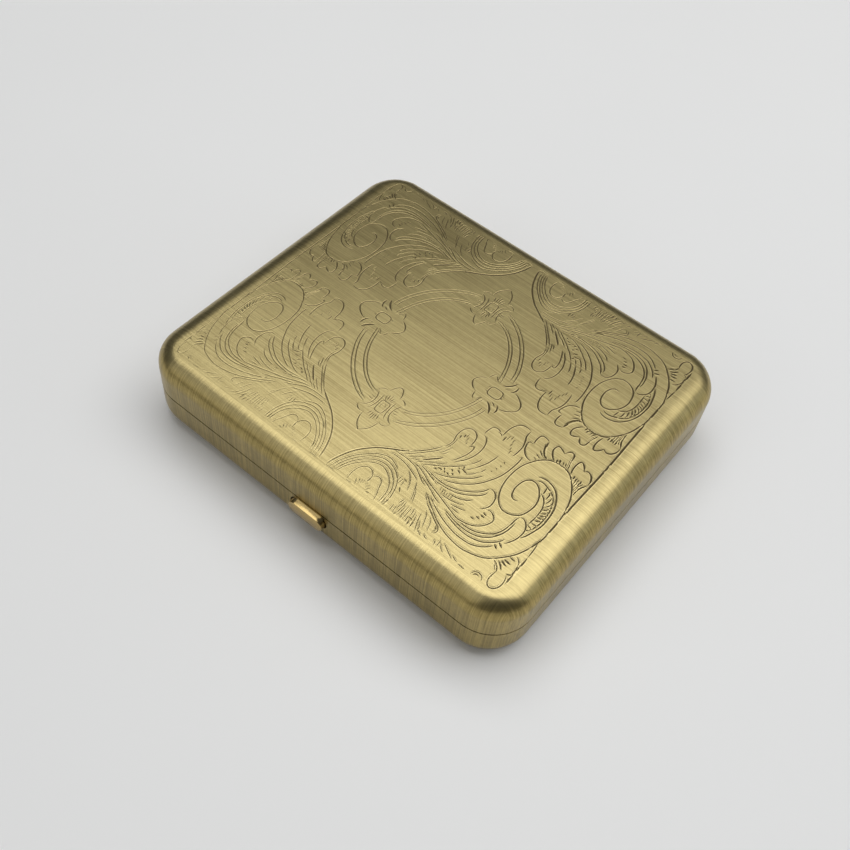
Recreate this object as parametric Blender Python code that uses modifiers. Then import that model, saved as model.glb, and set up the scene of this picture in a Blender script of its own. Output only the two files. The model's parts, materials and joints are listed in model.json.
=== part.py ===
"""Brass cigarette case, closed, in metres.

X runs along the long side, Y across the case from the push button to the hinge, and Z up.
The origin is under the middle of the case, on the surface it stands on.
The base and the lid are the same stamping, and meet halfway up.
"""

import math

import bmesh
import bpy
from mathutils import Matrix, Vector

# Case, closed
case_length = 0.095
case_width = 0.0803
case_height = 0.019
corner_radius = 0.0095
flat_corner_radius = 0.0035
roll_end = 0.005
roll_side = 0.004
roll_drop = 0.0045
wall = 0.0008
seat_gap = 0.0003
overrun = 0.002

# Hinge along the back
hinge_end_inset = 0.0085
hinge_knuckles = 9
leaf_thickness = 0.0006
leaf_height = 0.0028
hinge_pin_radius = 0.0007
running_gap = 0.0001

# Rim strips that the lid closes over
strip_thickness = 0.0005
strip_rise = 0.0012
strip_depth = 0.0035
strip_middle_gap = 0.0145

# Retainer bars and the rods that they swing on
arm_spacing = 0.04
arm_width = 0.005
arm_length = 0.064
arm_thickness = 0.0005
bar_back_depth = 0.0065
bar_inner_radius = 0.003
bar_window_length = 0.016
bar_window_width = 0.0026
sleeve_step = 0.00005
rod_radius = 0.0008
rod_inset = 0.0062
rod_clear_of_middle = 0.0023
rod_end_rise = 0.0006
lug_thickness = 0.001
lug_foot_length = 0.0045
lug_foot_width = 0.005
lug_foot_thickness = 0.0008

# Torsion springs on the rods
coil_wire_radius = 0.00025
coil_mean_radius = 0.0012
coil_turns = 5
coil_pitch = 0.00096
coil_side_gap = 0.0006
leg_reach = 0.0075
leg_overlap = 0.0022
leg_bend = 0.0015

# Catch in the front wall
button_width = 0.009
button_height = 0.0034
button_proud = 0.0012
button_edge = 0.0004
button_flange = 0.0007
button_flange_thickness = 0.0007
button_below_middle = 0.0027
button_travel = 0.0011
catch_width = 0.008
catch_thickness = 0.0008
catch_drop = 0.0062
hook_thickness = 0.0008
hook_slope = 0.0004
keeper_width = 0.010
keeper_thickness = 0.0006
keeper_ledge = 0.0017
keeper_height = 0.0045
keeper_above_middle = 0.0004
guide_pin_radius = 0.0006
guide_pin_past = 0.0014
catch_spring_radius = 0.0013
catch_spring_wire = 0.0002
catch_spring_turns = 3
catch_spring_pitch = 0.00088
bracket_width = 0.012
bracket_thickness = 0.0008
bracket_foot_length = 0.005
bracket_height = 0.0068
bracket_corner = 0.002

# Facets
corner_steps = 7
roll_steps = 6
round_steps = 24
pin_steps = 16
end_steps = 10
curl_points = 12

# Places that follow from the sizes
half_length = case_length / 2
half_width = case_width / 2
middle_z = case_height / 2
half_gap = seat_gap / 2
hinge_length = case_length - 2 * hinge_end_inset
barrel_radius = hinge_pin_radius + running_gap + leaf_thickness
axis_inset = wall + seat_gap + leaf_thickness - barrel_radius
case_y = (button_proud - barrel_radius + axis_inset) / 2
front_face_y = case_y - half_width
back_face_y = case_y + half_width
hinge_y = back_face_y - axis_inset
front_inner_y = front_face_y + wall
notch_half_height = barrel_radius + seat_gap
relief_depth = max(axis_inset, 0) + running_gap
relief_corner = math.sqrt(corner_radius**2 - (corner_radius - relief_depth) ** 2)
relief_half_length = half_length - corner_radius + relief_corner + seat_gap
rod_y = back_face_y - rod_inset
rod_z = middle_z - rod_clear_of_middle
sleeve_radius = rod_radius + running_gap + arm_thickness
arm_underside = sleeve_radius - arm_thickness
coil_length = (coil_turns + 1 / 4) * coil_pitch
spring_room = coil_length + 2 * (coil_side_gap + coil_wire_radius)
lug_x = arm_spacing / 2 + arm_width / 2 + spring_room
rod_half_length = lug_x + lug_thickness + rod_end_rise
floor_seat_z = wall + seat_gap
arm_drop = rod_z - floor_seat_z
arm_reach = math.hypot(arm_length, arm_underside)
arm_slope = math.asin(arm_drop / arm_reach) + math.atan2(arm_underside, arm_length)
button_z = middle_z - button_below_middle
ledge_tip_y = front_inner_y + seat_gap + keeper_ledge
catch_y = ledge_tip_y + seat_gap
hook_overlap = button_travel - seat_gap
hook_z = middle_z + keeper_above_middle + keeper_thickness + seat_gap
spring_y = catch_y + catch_thickness + seat_gap
spring_length = catch_spring_turns * catch_spring_pitch + 2 * catch_spring_wire
bracket_y = spring_y + spring_length + seat_gap


def fresh_collection(name):
    """Give a new collection that hangs in the scene."""
    collection = bpy.data.collections.new(name)
    bpy.context.scene.collection.children.link(collection)
    return collection


def metal(name, colour, roughness, metallic=1.0):
    """Give one plain metal finish."""
    material = bpy.data.materials.new(name)
    material.use_nodes = True
    shader = material.node_tree.nodes["Principled BSDF"]
    shader.inputs["Base Color"].default_value = (*colour, 1.0)
    shader.inputs["Roughness"].default_value = roughness
    shader.inputs["Metallic"].default_value = metallic
    material.diffuse_color = (*colour, 1.0)
    return material


def put(name, mesh, material, at, parent=None):
    """Put a mesh in the case as an object whose origin is at the given place."""
    thing = bpy.data.objects.new(name, mesh)
    parts.objects.link(thing)
    mesh.materials.append(material)
    place(thing, at, parent)
    return thing


def place(thing, at, parent=None):
    """Set an object's place in the case, under a parent or free."""
    thing.location = Vector(at)
    if parent is not None:
        thing.parent = parent
        thing.location = Vector(at) - parent.location


def guide(name, mesh, at):
    """Put a mesh among the cutters, which are no part of the case."""
    thing = bpy.data.objects.new(name, mesh)
    cutters.objects.link(thing)
    thing.hide_render = True
    thing.display_type = "WIRE"
    thing.location = Vector(at)
    return thing


def pivot(name, at):
    """Put an empty on a joint's axis."""
    empty = bpy.data.objects.new(name, None)
    parts.objects.link(empty)
    empty.location = Vector(at)
    return empty


def combine(thing, other, operation):
    """Cut an object by another, or join the other to it."""
    modifier = thing.modifiers.new(other.name, "BOOLEAN")
    modifier.operation = operation
    modifier.solver = "EXACT"
    modifier.object = other


def soften(thing, width, segments=1):
    """Break the sharp edges of a piece."""
    modifier = thing.modifiers.new("edges", "BEVEL")
    modifier.width = width
    modifier.segments = segments
    modifier.limit_method = "ANGLE"


def mesh_of(bm, name):
    """Close an edit mesh, with its faces pointing out."""
    bmesh.ops.recalc_face_normals(bm, faces=bm.faces)
    mesh = bpy.data.meshes.new(name)
    bm.to_mesh(mesh)
    bm.free()
    return mesh


def shade_round(mesh):
    """Shade a turned or rolled piece smooth, but for its edges."""
    mesh.shade_smooth()
    mesh.set_sharp_from_angle(angle=math.radians(40))


def block(name, low, high):
    """A box between two corners, about its own origin."""
    low = Vector(low)
    high = Vector(high)
    bm = bmesh.new()
    bmesh.ops.create_cube(bm, size=1)
    bmesh.ops.scale(bm, vec=high - low, verts=bm.verts)
    bmesh.ops.translate(bm, vec=(low + high) / 2, verts=bm.verts)
    return mesh_of(bm, name)


def bar_along(name, axis, radius, start, end, steps):
    """A round bar along X or Y, between two places on that axis."""
    bm = bmesh.new()
    bmesh.ops.create_cone(
        bm, cap_ends=True, segments=steps, radius1=radius, radius2=radius, depth=end - start
    )
    turn = Matrix.Rotation(math.pi / 2, 4, "Y" if axis == "X" else "X")
    bmesh.ops.transform(bm, matrix=turn, verts=bm.verts)
    middle = (start + end) / 2
    move = Vector((middle, 0, 0)) if axis == "X" else Vector((0, middle, 0))
    bmesh.ops.translate(bm, vec=move, verts=bm.verts)
    mesh = mesh_of(bm, name)
    shade_round(mesh)
    return mesh


def plate_along(name, outline, axis, start, end):
    """A flat outline carried straight along X, Y or Z.

    The outline's two coordinates are Y and Z for X, X and Z for Y, and X and Y for Z.
    """
    curve = bpy.data.curves.new(name, "CURVE")
    curve.dimensions = "2D"
    curve.fill_mode = "BOTH"
    curve.extrude = (end - start) / 2
    spline = curve.splines.new("POLY")
    spline.points.add(len(outline) - 1)
    for point, (u, v) in zip(spline.points, outline):
        point.co = (u, v, 0, 1)
    spline.use_cyclic_u = True
    turns = {
        "X": Matrix(((0, 0, 1), (1, 0, 0), (0, 1, 0))),
        "Y": Matrix(((1, 0, 0), (0, 0, 1), (0, 1, 0))),
        "Z": Matrix.Identity(3),
    }
    shift = Matrix.Translation((0, 0, (start + end) / 2))
    return solid_from_curve(curve, turns[axis].to_4x4() @ shift)


def solid_from_curve(curve, matrix):
    """Turn a curve with closed ends into a mesh, welded and moved."""
    thing = bpy.data.objects.new(curve.name, curve)
    cutters.objects.link(thing)
    depsgraph = bpy.context.evaluated_depsgraph_get()
    mesh = bpy.data.meshes.new_from_object(thing.evaluated_get(depsgraph))
    name = curve.name
    bpy.data.objects.remove(thing)
    bpy.data.curves.remove(curve)
    bm = bmesh.new()
    bm.from_mesh(mesh)
    bpy.data.meshes.remove(mesh)
    bmesh.ops.remove_doubles(bm, verts=bm.verts, dist=seat_gap / 1000)
    bmesh.ops.transform(bm, matrix=matrix, verts=bm.verts)
    return mesh_of(bm, name)


def wire(name, points, radius):
    """A round wire through the points, with closed ends."""
    curve = bpy.data.curves.new(name, "CURVE")
    curve.dimensions = "3D"
    curve.bevel_depth = radius
    curve.bevel_resolution = 1
    curve.use_fill_caps = True
    spline = curve.splines.new("POLY")
    spline.points.add(len(points) - 1)
    for point, (x, y, z) in zip(spline.points, points):
        point.co = (x, y, z, 1)
    mesh = solid_from_curve(curve, Matrix.Identity(4))
    mesh.shade_smooth()
    return mesh


def arc(centre, radius, first, last, steps):
    """Points along an arc, from one angle to another in degrees."""
    u, v = centre
    turn = [math.radians(first + (last - first) * i / steps) for i in range(steps + 1)]
    return [(u + radius * math.cos(a), v + radius * math.sin(a)) for a in turn]


def rounded_outline(half_x, half_y, radius, steps):
    """A rectangle with round corners, anticlockwise from its right side."""
    x = half_x - radius
    y = half_y - radius
    outline = arc((x, y), radius, 0, 90, steps)
    outline += arc((-x, y), radius, 90, 180, steps)
    outline += arc((-x, -y), radius, 180, 270, steps)
    outline += arc((x, -y), radius, 270, 360, steps)
    return outline


def shell_rings():
    """Outer rings of one stamping: (half length, half width, corner radius, height over the middle)."""
    rings = [(half_length, half_width, corner_radius, half_gap)]
    for step in range(roll_steps + 1):
        angle = math.pi / 2 * step / roll_steps
        inward = 1 - math.cos(angle)
        rings.append(
            (
                half_length - roll_end * inward,
                half_width - roll_side * inward,
                corner_radius - (corner_radius - flat_corner_radius) * inward,
                middle_z - roll_drop * (1 - math.sin(angle)),
            )
        )
    return rings


def shell_mesh(name, side):
    """One stamping with its rolled edge, open at the middle. Side is 1 for the lid, -1 for the base."""
    bm = bmesh.new()
    loops = []
    for half_x, half_y, radius, height in shell_rings():
        outline = rounded_outline(half_x, half_y, radius, corner_steps)
        loops.append([bm.verts.new((x, y, side * height)) for x, y in outline])
    count = len(loops[0])
    for low, high in zip(loops, loops[1:]):
        for i in range(count):
            j = (i + 1) % count
            quad = (low[i], low[j], high[j], high[i])
            bm.faces.new(quad if side > 0 else quad[::-1])
    bm.faces.new(loops[-1] if side > 0 else loops[-1][::-1])
    mesh = bpy.data.meshes.new(name)
    bm.to_mesh(mesh)
    bm.free()
    shade_round(mesh)
    return mesh


def make_shell(name, side, material, parent=None):
    """A stamped half. Its back wall is cut away for the hinge, and thinned past the hinge's ends.

    The thinned strip is what would stand outside the hinge's axis and catch as the lid opens.
    """
    shell = put(name, shell_mesh(name, side), material, (0, case_y, middle_z), parent)
    thickness = shell.modifiers.new("wall", "SOLIDIFY")
    thickness.thickness = wall
    thickness.offset = -1
    thickness.use_even_offset = True
    notch = block(
        name + "_notch",
        (-hinge_length / 2 - seat_gap, half_width - wall - overrun, -notch_half_height),
        (hinge_length / 2 + seat_gap, half_width + overrun, notch_half_height),
    )
    combine(shell, guide(name + "_notch", notch, (0, case_y, middle_z)), "DIFFERENCE")
    relief = block(
        name + "_relief",
        (-relief_half_length, half_width - relief_depth, -notch_half_height),
        (relief_half_length, half_width + overrun, notch_half_height),
    )
    combine(shell, guide(name + "_relief", relief, (0, case_y, middle_z)), "DIFFERENCE")
    return shell


def button_outline(grow):
    """The button's long round shape, seen from the front, made larger all round by grow."""
    radius = button_height / 2 + grow
    reach = button_width / 2 - button_height / 2
    outline = arc((reach, 0), radius, -90, 90, end_steps)
    outline += arc((-reach, 0), radius, 90, 270, end_steps)
    return outline


def cut_button_hole(shell):
    """Cut the long round hole that the push button slides in."""
    hole = plate_along("button_hole", button_outline(seat_gap), "Y", -wall - overrun, overrun)
    combine(shell, guide("button_hole", hole, (0, front_inner_y, button_z)), "DIFFERENCE")


def knuckle_outline(side):
    """A hinge knuckle from its end: a strip rolled round the pin. Side is 1 for the lid's leaf."""
    strip_y = -barrel_radius + leaf_thickness
    tail = notch_half_height + seat_gap
    meet = 180 + math.degrees(math.acos(-strip_y / barrel_radius))
    outline = [(strip_y, -tail)]
    outline += arc((0, 0), barrel_radius, meet, 180 + 360, round_steps)
    outline += [(-barrel_radius, -tail)]
    return [(y, -side * z) for y, z in outline]


def make_leaf(name, side, material, parent=None):
    """A hinge leaf: a strip against the back wall, with every other knuckle rolled on its edge."""
    edge = notch_half_height
    z_range = sorted((side * edge, side * (edge + leaf_height)))
    strip = block(
        name,
        (-hinge_length / 2, -barrel_radius, z_range[0]),
        (hinge_length / 2, -barrel_radius + leaf_thickness, z_range[1]),
    )
    leaf = put(name, strip, material, (0, hinge_y, middle_z), parent)
    pitch = (hinge_length + seat_gap) / hinge_knuckles
    for index in range(hinge_knuckles):
        if (index % 2 == 0) != (side < 0):
            continue
        start = -hinge_length / 2 + index * pitch
        knuckle = plate_along(
            f"{name}_knuckle_{index}", knuckle_outline(side), "X", start, start + pitch - seat_gap
        )
        combine(leaf, guide(f"{name}_knuckle_{index}", knuckle, (0, hinge_y, middle_z)), "UNION")
    bore_radius = hinge_pin_radius + running_gap
    half = hinge_length / 2 + overrun
    bore = bar_along(name + "_bore", "X", bore_radius, -half, half, round_steps)
    combine(leaf, guide(name + "_bore", bore, (0, hinge_y, middle_z)), "DIFFERENCE")
    return leaf


def make_hinge_pin(material):
    """The pin through all the knuckles."""
    pin = bar_along(
        "hinge_pin", "X", hinge_pin_radius, -hinge_length / 2, hinge_length / 2, pin_steps
    )
    thing = put("hinge_pin", pin, material, (0, hinge_y, middle_z))
    soften(thing, hinge_pin_radius / 4)


def make_rim_strip(name, side, material):
    """A thin band inside the base's rim, from beside the catch round to the back. Side is its X side."""
    inset = wall + seat_gap
    half_x = half_length - inset
    half_y = half_width - inset
    radius = corner_radius - inset
    line = [(half_x, half_width - corner_radius)]
    line += arc((half_x - radius, -half_y + radius), radius, 360, 270, corner_steps)
    line += [(strip_middle_gap / 2, -half_y)]
    bm = bmesh.new()
    low = [bm.verts.new((side * x, y, -strip_depth)) for x, y in line]
    high = [bm.verts.new((side * x, y, strip_rise)) for x, y in line]
    for i in range(len(line) - 1):
        quad = (low[i], low[i + 1], high[i + 1], high[i])
        bm.faces.new(quad[::-1] if side > 0 else quad)
    mesh = bpy.data.meshes.new(name)
    bm.to_mesh(mesh)
    bm.free()
    strip = put(name, mesh, material, (0, case_y, middle_z))
    thickness = strip.modifiers.new("strip", "SOLIDIFY")
    thickness.thickness = strip_thickness
    thickness.offset = -1
    thickness.use_even_offset = True


def arm_tip(centre_x):
    """The round end of one arm, from its left edge to its right edge."""
    radius = arm_width / 2
    return arc((centre_x, -arm_length + radius), radius, 180, 360, end_steps)


def bar_outline():
    """The retainer bar from above: two arms that come forward from a back strip."""
    outer = arm_spacing / 2 + arm_width / 2
    inner = arm_spacing / 2 - arm_width / 2
    bend = bar_inner_radius
    outline = [(-outer, 0)]
    outline += arm_tip(-arm_spacing / 2)
    outline += arc((-inner + bend, -bar_back_depth - bend), bend, 180, 90, end_steps // 2)
    outline += arc((inner - bend, -bar_back_depth - bend), bend, 90, 0, end_steps // 2)
    outline += arm_tip(arm_spacing / 2)
    outline += [(outer, 0)]
    return outline


def make_retainer(name, side, material, parent):
    """A sprung bar: two arms and a back strip, rolled round the rod at each arm."""
    low, high = sorted((side * arm_underside, side * sleeve_radius))
    bar = put(name, plate_along(name, bar_outline(), "Z", low, high), material, (0, 0, 0))
    bar.parent = parent
    slot = block(
        name + "_window",
        (-bar_window_length / 2, -bar_back_depth / 2 - bar_window_width / 2, low - overrun),
        (bar_window_length / 2, -bar_back_depth / 2 + bar_window_width / 2, high + overrun),
    )
    window = guide(name + "_window", slot, (0, 0, 0))
    window.parent = parent
    combine(bar, window, "DIFFERENCE")
    for index, centre in enumerate((-arm_spacing / 2, arm_spacing / 2)):
        half = arm_width / 2 - sleeve_step
        sleeve = bar_along(
            f"{name}_sleeve_{index}", "X", sleeve_radius - sleeve_step, centre - half,
            centre + half, round_steps
        )
        thing = guide(f"{name}_sleeve_{index}", sleeve, (0, 0, 0))
        thing.parent = parent
        combine(bar, thing, "UNION")
    reach = arm_spacing / 2 + arm_width + overrun
    bore = bar_along(name + "_bore", "X", rod_radius + running_gap, -reach, reach, round_steps)
    thing = guide(name + "_bore", bore, (0, 0, 0))
    thing.parent = parent
    combine(bar, thing, "DIFFERENCE")
    return bar


def curl_gap(points):
    """The least clear space between one turn of a spring and the next, from its points."""
    turn = curl_points
    return min(
        (Vector(points[i]) - Vector(points[j])).length
        for i in range(len(points))
        for j in range(i + turn - 2, min(i + turn + 3, len(points)))
    )


def torsion_spring_points(hand, side):
    """The wire of one torsion spring, from its foot on the floor to its end over the arm.

    Hand is the X side that the spring is on. Side is 1 for the base, whose floor is below.
    """
    inner_x = arm_spacing / 2 + arm_width / 2 + coil_side_gap + coil_wire_radius
    outer_x = inner_x + coil_length
    count = round(coil_length / coil_pitch * curl_points)
    curls = []
    for i in range(count + 1):
        angle = 2 * math.pi * i / curl_points
        x = outer_x + (inner_x - outer_x) * i / count
        curls.append((x, coil_mean_radius * math.cos(angle), coil_mean_radius * math.sin(angle)))
    foot_z = floor_seat_z + coil_wire_radius - rod_z
    foot = [(outer_x, coil_mean_radius, foot_z), (outer_x, coil_mean_radius, foot_z / 2)]
    over_z = sleeve_radius + seat_gap + coil_wire_radius
    over_x = inner_x - coil_side_gap - coil_wire_radius - leg_overlap
    leg = [
        (inner_x, -leg_reach / 2, coil_mean_radius),
        (inner_x, -leg_reach + leg_bend, coil_mean_radius),
        (inner_x, -leg_reach, over_z),
        (inner_x - coil_side_gap, -leg_reach - leg_bend / 2, over_z),
        (over_x, -leg_reach - leg_bend / 2, over_z),
    ]
    return [(hand * x, y, side * z) for x, y, z in foot + curls + leg]


def make_torsion_spring(name, hand, side, material, parent):
    """A wound spring on the rod beside an arm."""
    points = torsion_spring_points(hand, side)
    spring = put(name, wire(name, points, coil_wire_radius), material, (0, 0, 0))
    spring.parent = parent
    clear = curl_gap(points) - 2 * coil_wire_radius
    print(f"{name}: least gap between curls {clear * 1000:.2f} mm")


def make_rod(name, material, at, parent=None):
    """The plain rod that a retainer swings on."""
    rod = bar_along(name, "X", rod_radius, -rod_half_length, rod_half_length, pin_steps)
    thing = put(name, rod, material, at, parent)
    soften(thing, rod_radius / 4)


def make_lug(name, hand, side, material, at, parent=None):
    """A small bent plate that holds one end of a rod. Its foot lies on the shell's floor."""
    drop = rod_z - floor_seat_z
    ear = arc((0, 0), sleeve_radius, 0, 180, end_steps)
    ear += [(-lug_foot_width / 2, -drop), (lug_foot_width / 2, -drop)]
    ear = [(y, side * z) for y, z in ear]
    x_range = sorted((hand * lug_x, hand * (lug_x + lug_thickness)))
    lug = put(name, plate_along(name, ear, "X", *x_range), material, at, parent)
    foot_x = sorted((hand * (lug_x + lug_thickness / 2), hand * (lug_x + lug_foot_length)))
    foot_z = sorted((side * -drop, side * (lug_foot_thickness - drop)))
    foot = block(
        name + "_foot",
        (foot_x[0], -lug_foot_width / 2, foot_z[0]),
        (foot_x[1], lug_foot_width / 2, foot_z[1]),
    )
    combine(lug, guide(name + "_foot", foot, at), "UNION")
    reach = rod_half_length + overrun
    bore = bar_along(name + "_bore", "X", rod_radius + running_gap, -reach, reach, round_steps)
    combine(lug, guide(name + "_bore", bore, at), "DIFFERENCE")


def make_retainer_set(half, side, parent=None):
    """Everything that holds one row of cigarettes. Side is 1 for the base, -1 for the lid."""
    at = (0, rod_y, middle_z - side * rod_clear_of_middle)
    axis = pivot(half + "_retainer_axis", at)
    if parent is not None:
        axis.parent = parent
        axis.location = Vector(at) - parent.location
    axis.rotation_euler = (side * arm_slope, 0, 0)
    make_retainer(half + "_retainer_bar", side, polished_brass, axis)
    make_rod(half + "_retainer_rod", steel, at, parent)
    for label, hand in (("left", -1), ("right", 1)):
        make_lug(f"{half}_rod_lug_{label}", hand, side, inner_brass, at, parent)
        make_torsion_spring(f"{half}_retainer_spring_{label}", hand, side, spring_steel, axis)


def make_push_button(material, parent):
    """The long round button, with the flange that keeps it in its hole."""
    flange_y = front_inner_y + seat_gap
    at = (0, flange_y, button_z)
    reach = catch_y - seat_gap - flange_y
    front = front_face_y - button_proud - flange_y
    shank = plate_along("push_button", button_outline(0), "Y", front, reach)
    button = put("push_button", shank, material, at, parent)
    soften(button, button_edge, 2)
    flange = plate_along(
        "button_flange", button_outline(button_flange), "Y", 0, button_flange_thickness
    )
    combine(button, guide("button_flange", flange, at), "UNION")
    pin_hole = bar_along(
        "button_pin_hole", "Y", guide_pin_radius + running_gap, reach / 2, reach + overrun, pin_steps
    )
    combine(button, guide("button_pin_hole", pin_hole, at), "DIFFERENCE")


def make_catch_plate(material, parent):
    """The upright plate behind the button, whose hook holds the lid's keeper."""
    at = (0, catch_y, button_z)
    hook_low = hook_z - button_z
    hook_high = hook_low + hook_thickness
    nose = -seat_gap - hook_overlap
    bottom = middle_z - catch_drop - button_z
    side_view = [
        (catch_thickness, bottom),
        (catch_thickness, hook_high),
        (nose + hook_slope, hook_high),
        (nose, hook_high - hook_slope),
        (nose, hook_low),
        (0, hook_low),
        (0, bottom),
    ]
    mesh = plate_along("catch_plate", side_view, "X", -catch_width / 2, catch_width / 2)
    plate = put("catch_plate", mesh, material, at, parent)
    hole = bar_along(
        "catch_plate_hole", "Y", guide_pin_radius + running_gap, -overrun, overrun, pin_steps
    )
    combine(plate, guide("catch_plate_hole", hole, at), "DIFFERENCE")


def make_guide_pin(material, parent):
    """The pin through the button, the catch plate, the spring and the bracket."""
    flange_y = front_inner_y + seat_gap
    start = (flange_y + catch_y - seat_gap) / 2 + seat_gap
    end = bracket_y + bracket_thickness + guide_pin_past
    at = (0, start, button_z)
    pin = bar_along("catch_guide_pin", "Y", guide_pin_radius, 0, end - start, pin_steps)
    put("catch_guide_pin", pin, material, at, parent)


def catch_spring_points():
    """The wire of the spring behind the catch plate, wound along Y."""
    start = catch_spring_wire
    count = catch_spring_turns * curl_points
    points = []
    for i in range(count + 1):
        angle = 2 * math.pi * i / curl_points
        along = start + catch_spring_pitch * i / curl_points
        x = catch_spring_radius * math.cos(angle)
        z = catch_spring_radius * math.sin(angle)
        points.append((x, along, z))
    return points


def make_catch_spring(material):
    """The wound spring between the catch plate and its bracket."""
    points = catch_spring_points()
    mesh = wire("catch_spring", points, catch_spring_wire)
    put("catch_spring", mesh, material, (0, spring_y, button_z))
    clear = curl_gap(points) - 2 * catch_spring_wire
    print(f"catch_spring: least gap between curls {clear * 1000:.2f} mm")


def make_bracket(material):
    """The bent plate on the base's floor that backs the spring and guides the pin."""
    half = bracket_width / 2
    at = (0, bracket_y, floor_seat_z)
    upright = [(-half, 0), (half, 0)]
    for centre_x, first in ((half - bracket_corner, 0), (bracket_corner - half, 90)):
        centre = (centre_x, bracket_height - bracket_corner)
        upright += arc(centre, bracket_corner, first, first + 90, corner_steps)
    mesh = plate_along("catch_bracket", upright, "Y", 0, bracket_thickness)
    bracket = put("catch_bracket", mesh, material, at)
    foot = block(
        "bracket_foot",
        (-half, bracket_thickness / 2, 0),
        (half, bracket_foot_length, bracket_thickness),
    )
    combine(bracket, guide("bracket_foot", foot, at), "UNION")
    hole = bar_along(
        "bracket_hole", "Y", guide_pin_radius + running_gap, -overrun, overrun, round_steps
    )
    combine(bracket, guide("bracket_hole", hole, (0, bracket_y, button_z)), "DIFFERENCE")


def make_keeper(material, parent):
    """The bent plate inside the lid's front wall, whose ledge the hook holds."""
    at = (0, front_inner_y + seat_gap, middle_z + keeper_above_middle)
    side_view = [
        (0, 0),
        (keeper_ledge, 0),
        (keeper_ledge, keeper_thickness),
        (keeper_thickness, keeper_thickness),
        (keeper_thickness, keeper_height),
        (0, keeper_height),
    ]
    mesh = plate_along("keeper_plate", side_view, "X", -keeper_width / 2, keeper_width / 2)
    put("keeper_plate", mesh, material, at, parent)


def clear_scene():
    """Empty the scene of what it starts with."""
    for thing in list(bpy.data.objects):
        bpy.data.objects.remove(thing)


clear_scene()
parts = fresh_collection("cigarette_case")
cutters = fresh_collection("cutters")

antique_brass = metal("antique_brass", (0.42, 0.32, 0.14), 0.36)
inner_brass = metal("inner_brass", (0.62, 0.47, 0.20), 0.30)
polished_brass = metal("polished_brass", (0.72, 0.55, 0.24), 0.22)
steel = metal("steel", (0.56, 0.56, 0.57), 0.28)
spring_steel = metal("spring_steel", (0.40, 0.41, 0.43), 0.32)

lid_axis = pivot("lid_axis", (0, hinge_y, middle_z))
catch_axis = pivot("catch_axis", (0, catch_y, button_z))

base_shell = make_shell("base_shell", -1, antique_brass)
cut_button_hole(base_shell)
make_shell("lid_shell", 1, antique_brass, lid_axis)
make_leaf("base_hinge_leaf", -1, inner_brass)
make_leaf("lid_hinge_leaf", 1, inner_brass, lid_axis)
make_hinge_pin(steel)
make_rim_strip("base_rim_strip_left", -1, inner_brass)
make_rim_strip("base_rim_strip_right", 1, inner_brass)
make_retainer_set("base", 1)
make_retainer_set("lid", -1, lid_axis)
make_push_button(polished_brass, catch_axis)
make_catch_plate(steel, catch_axis)
make_guide_pin(steel, catch_axis)
make_catch_spring(spring_steel)
make_bracket(inner_brass)
make_keeper(inner_brass, lid_axis)
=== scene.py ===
"""Looks of the brass cigarette case: engraved lid, finer pieces, metals and studio."""

import json
import math
from itertools import chain

import bmesh
import bpy
import numpy as np
from mathutils import Matrix, Vector
from mathutils.geometry import delaunay_2d_cdt

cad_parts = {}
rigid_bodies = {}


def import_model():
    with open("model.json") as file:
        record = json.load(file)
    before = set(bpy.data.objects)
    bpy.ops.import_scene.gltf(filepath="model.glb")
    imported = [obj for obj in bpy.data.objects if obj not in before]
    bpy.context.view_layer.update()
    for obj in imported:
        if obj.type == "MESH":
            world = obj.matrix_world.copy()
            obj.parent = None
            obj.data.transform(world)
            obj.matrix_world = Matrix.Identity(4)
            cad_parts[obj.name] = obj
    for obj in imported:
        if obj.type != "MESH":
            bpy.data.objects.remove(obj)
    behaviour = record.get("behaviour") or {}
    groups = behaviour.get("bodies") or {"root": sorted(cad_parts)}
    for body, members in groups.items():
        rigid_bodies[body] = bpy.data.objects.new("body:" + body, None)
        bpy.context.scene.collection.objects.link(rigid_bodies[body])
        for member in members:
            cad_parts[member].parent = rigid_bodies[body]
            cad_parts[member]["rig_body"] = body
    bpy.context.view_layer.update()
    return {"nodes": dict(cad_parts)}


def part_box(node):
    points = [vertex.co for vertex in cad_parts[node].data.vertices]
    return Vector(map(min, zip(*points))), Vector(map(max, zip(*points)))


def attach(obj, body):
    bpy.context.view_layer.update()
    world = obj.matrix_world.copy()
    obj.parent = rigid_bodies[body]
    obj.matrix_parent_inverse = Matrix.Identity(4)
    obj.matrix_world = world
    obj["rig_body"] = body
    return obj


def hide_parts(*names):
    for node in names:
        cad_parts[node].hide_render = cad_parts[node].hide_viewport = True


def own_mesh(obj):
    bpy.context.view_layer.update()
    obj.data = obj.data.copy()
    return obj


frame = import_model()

bl_info = {
    "name": "Engraved cigarette case",
    "version": (1, 0, 0),
    "blender": (4, 5, 0),
    "location": "3D View > Sidebar > Case",
    "description": "Makes the visible pieces of an engraved brass cigarette case round its solids",
    "category": "Object",
}

MM = 0.001
lid_low, lid_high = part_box("lid_shell")
hinge_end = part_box("base_hinge_leaf")[1].x
case_top = lid_high.z
middle_z = case_top / 2
half_length = lid_high.x
case_y = (lid_low.y + lid_high.y) / 2
half_width = (lid_high.y - lid_low.y) / 2


# --- what a user would change


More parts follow.
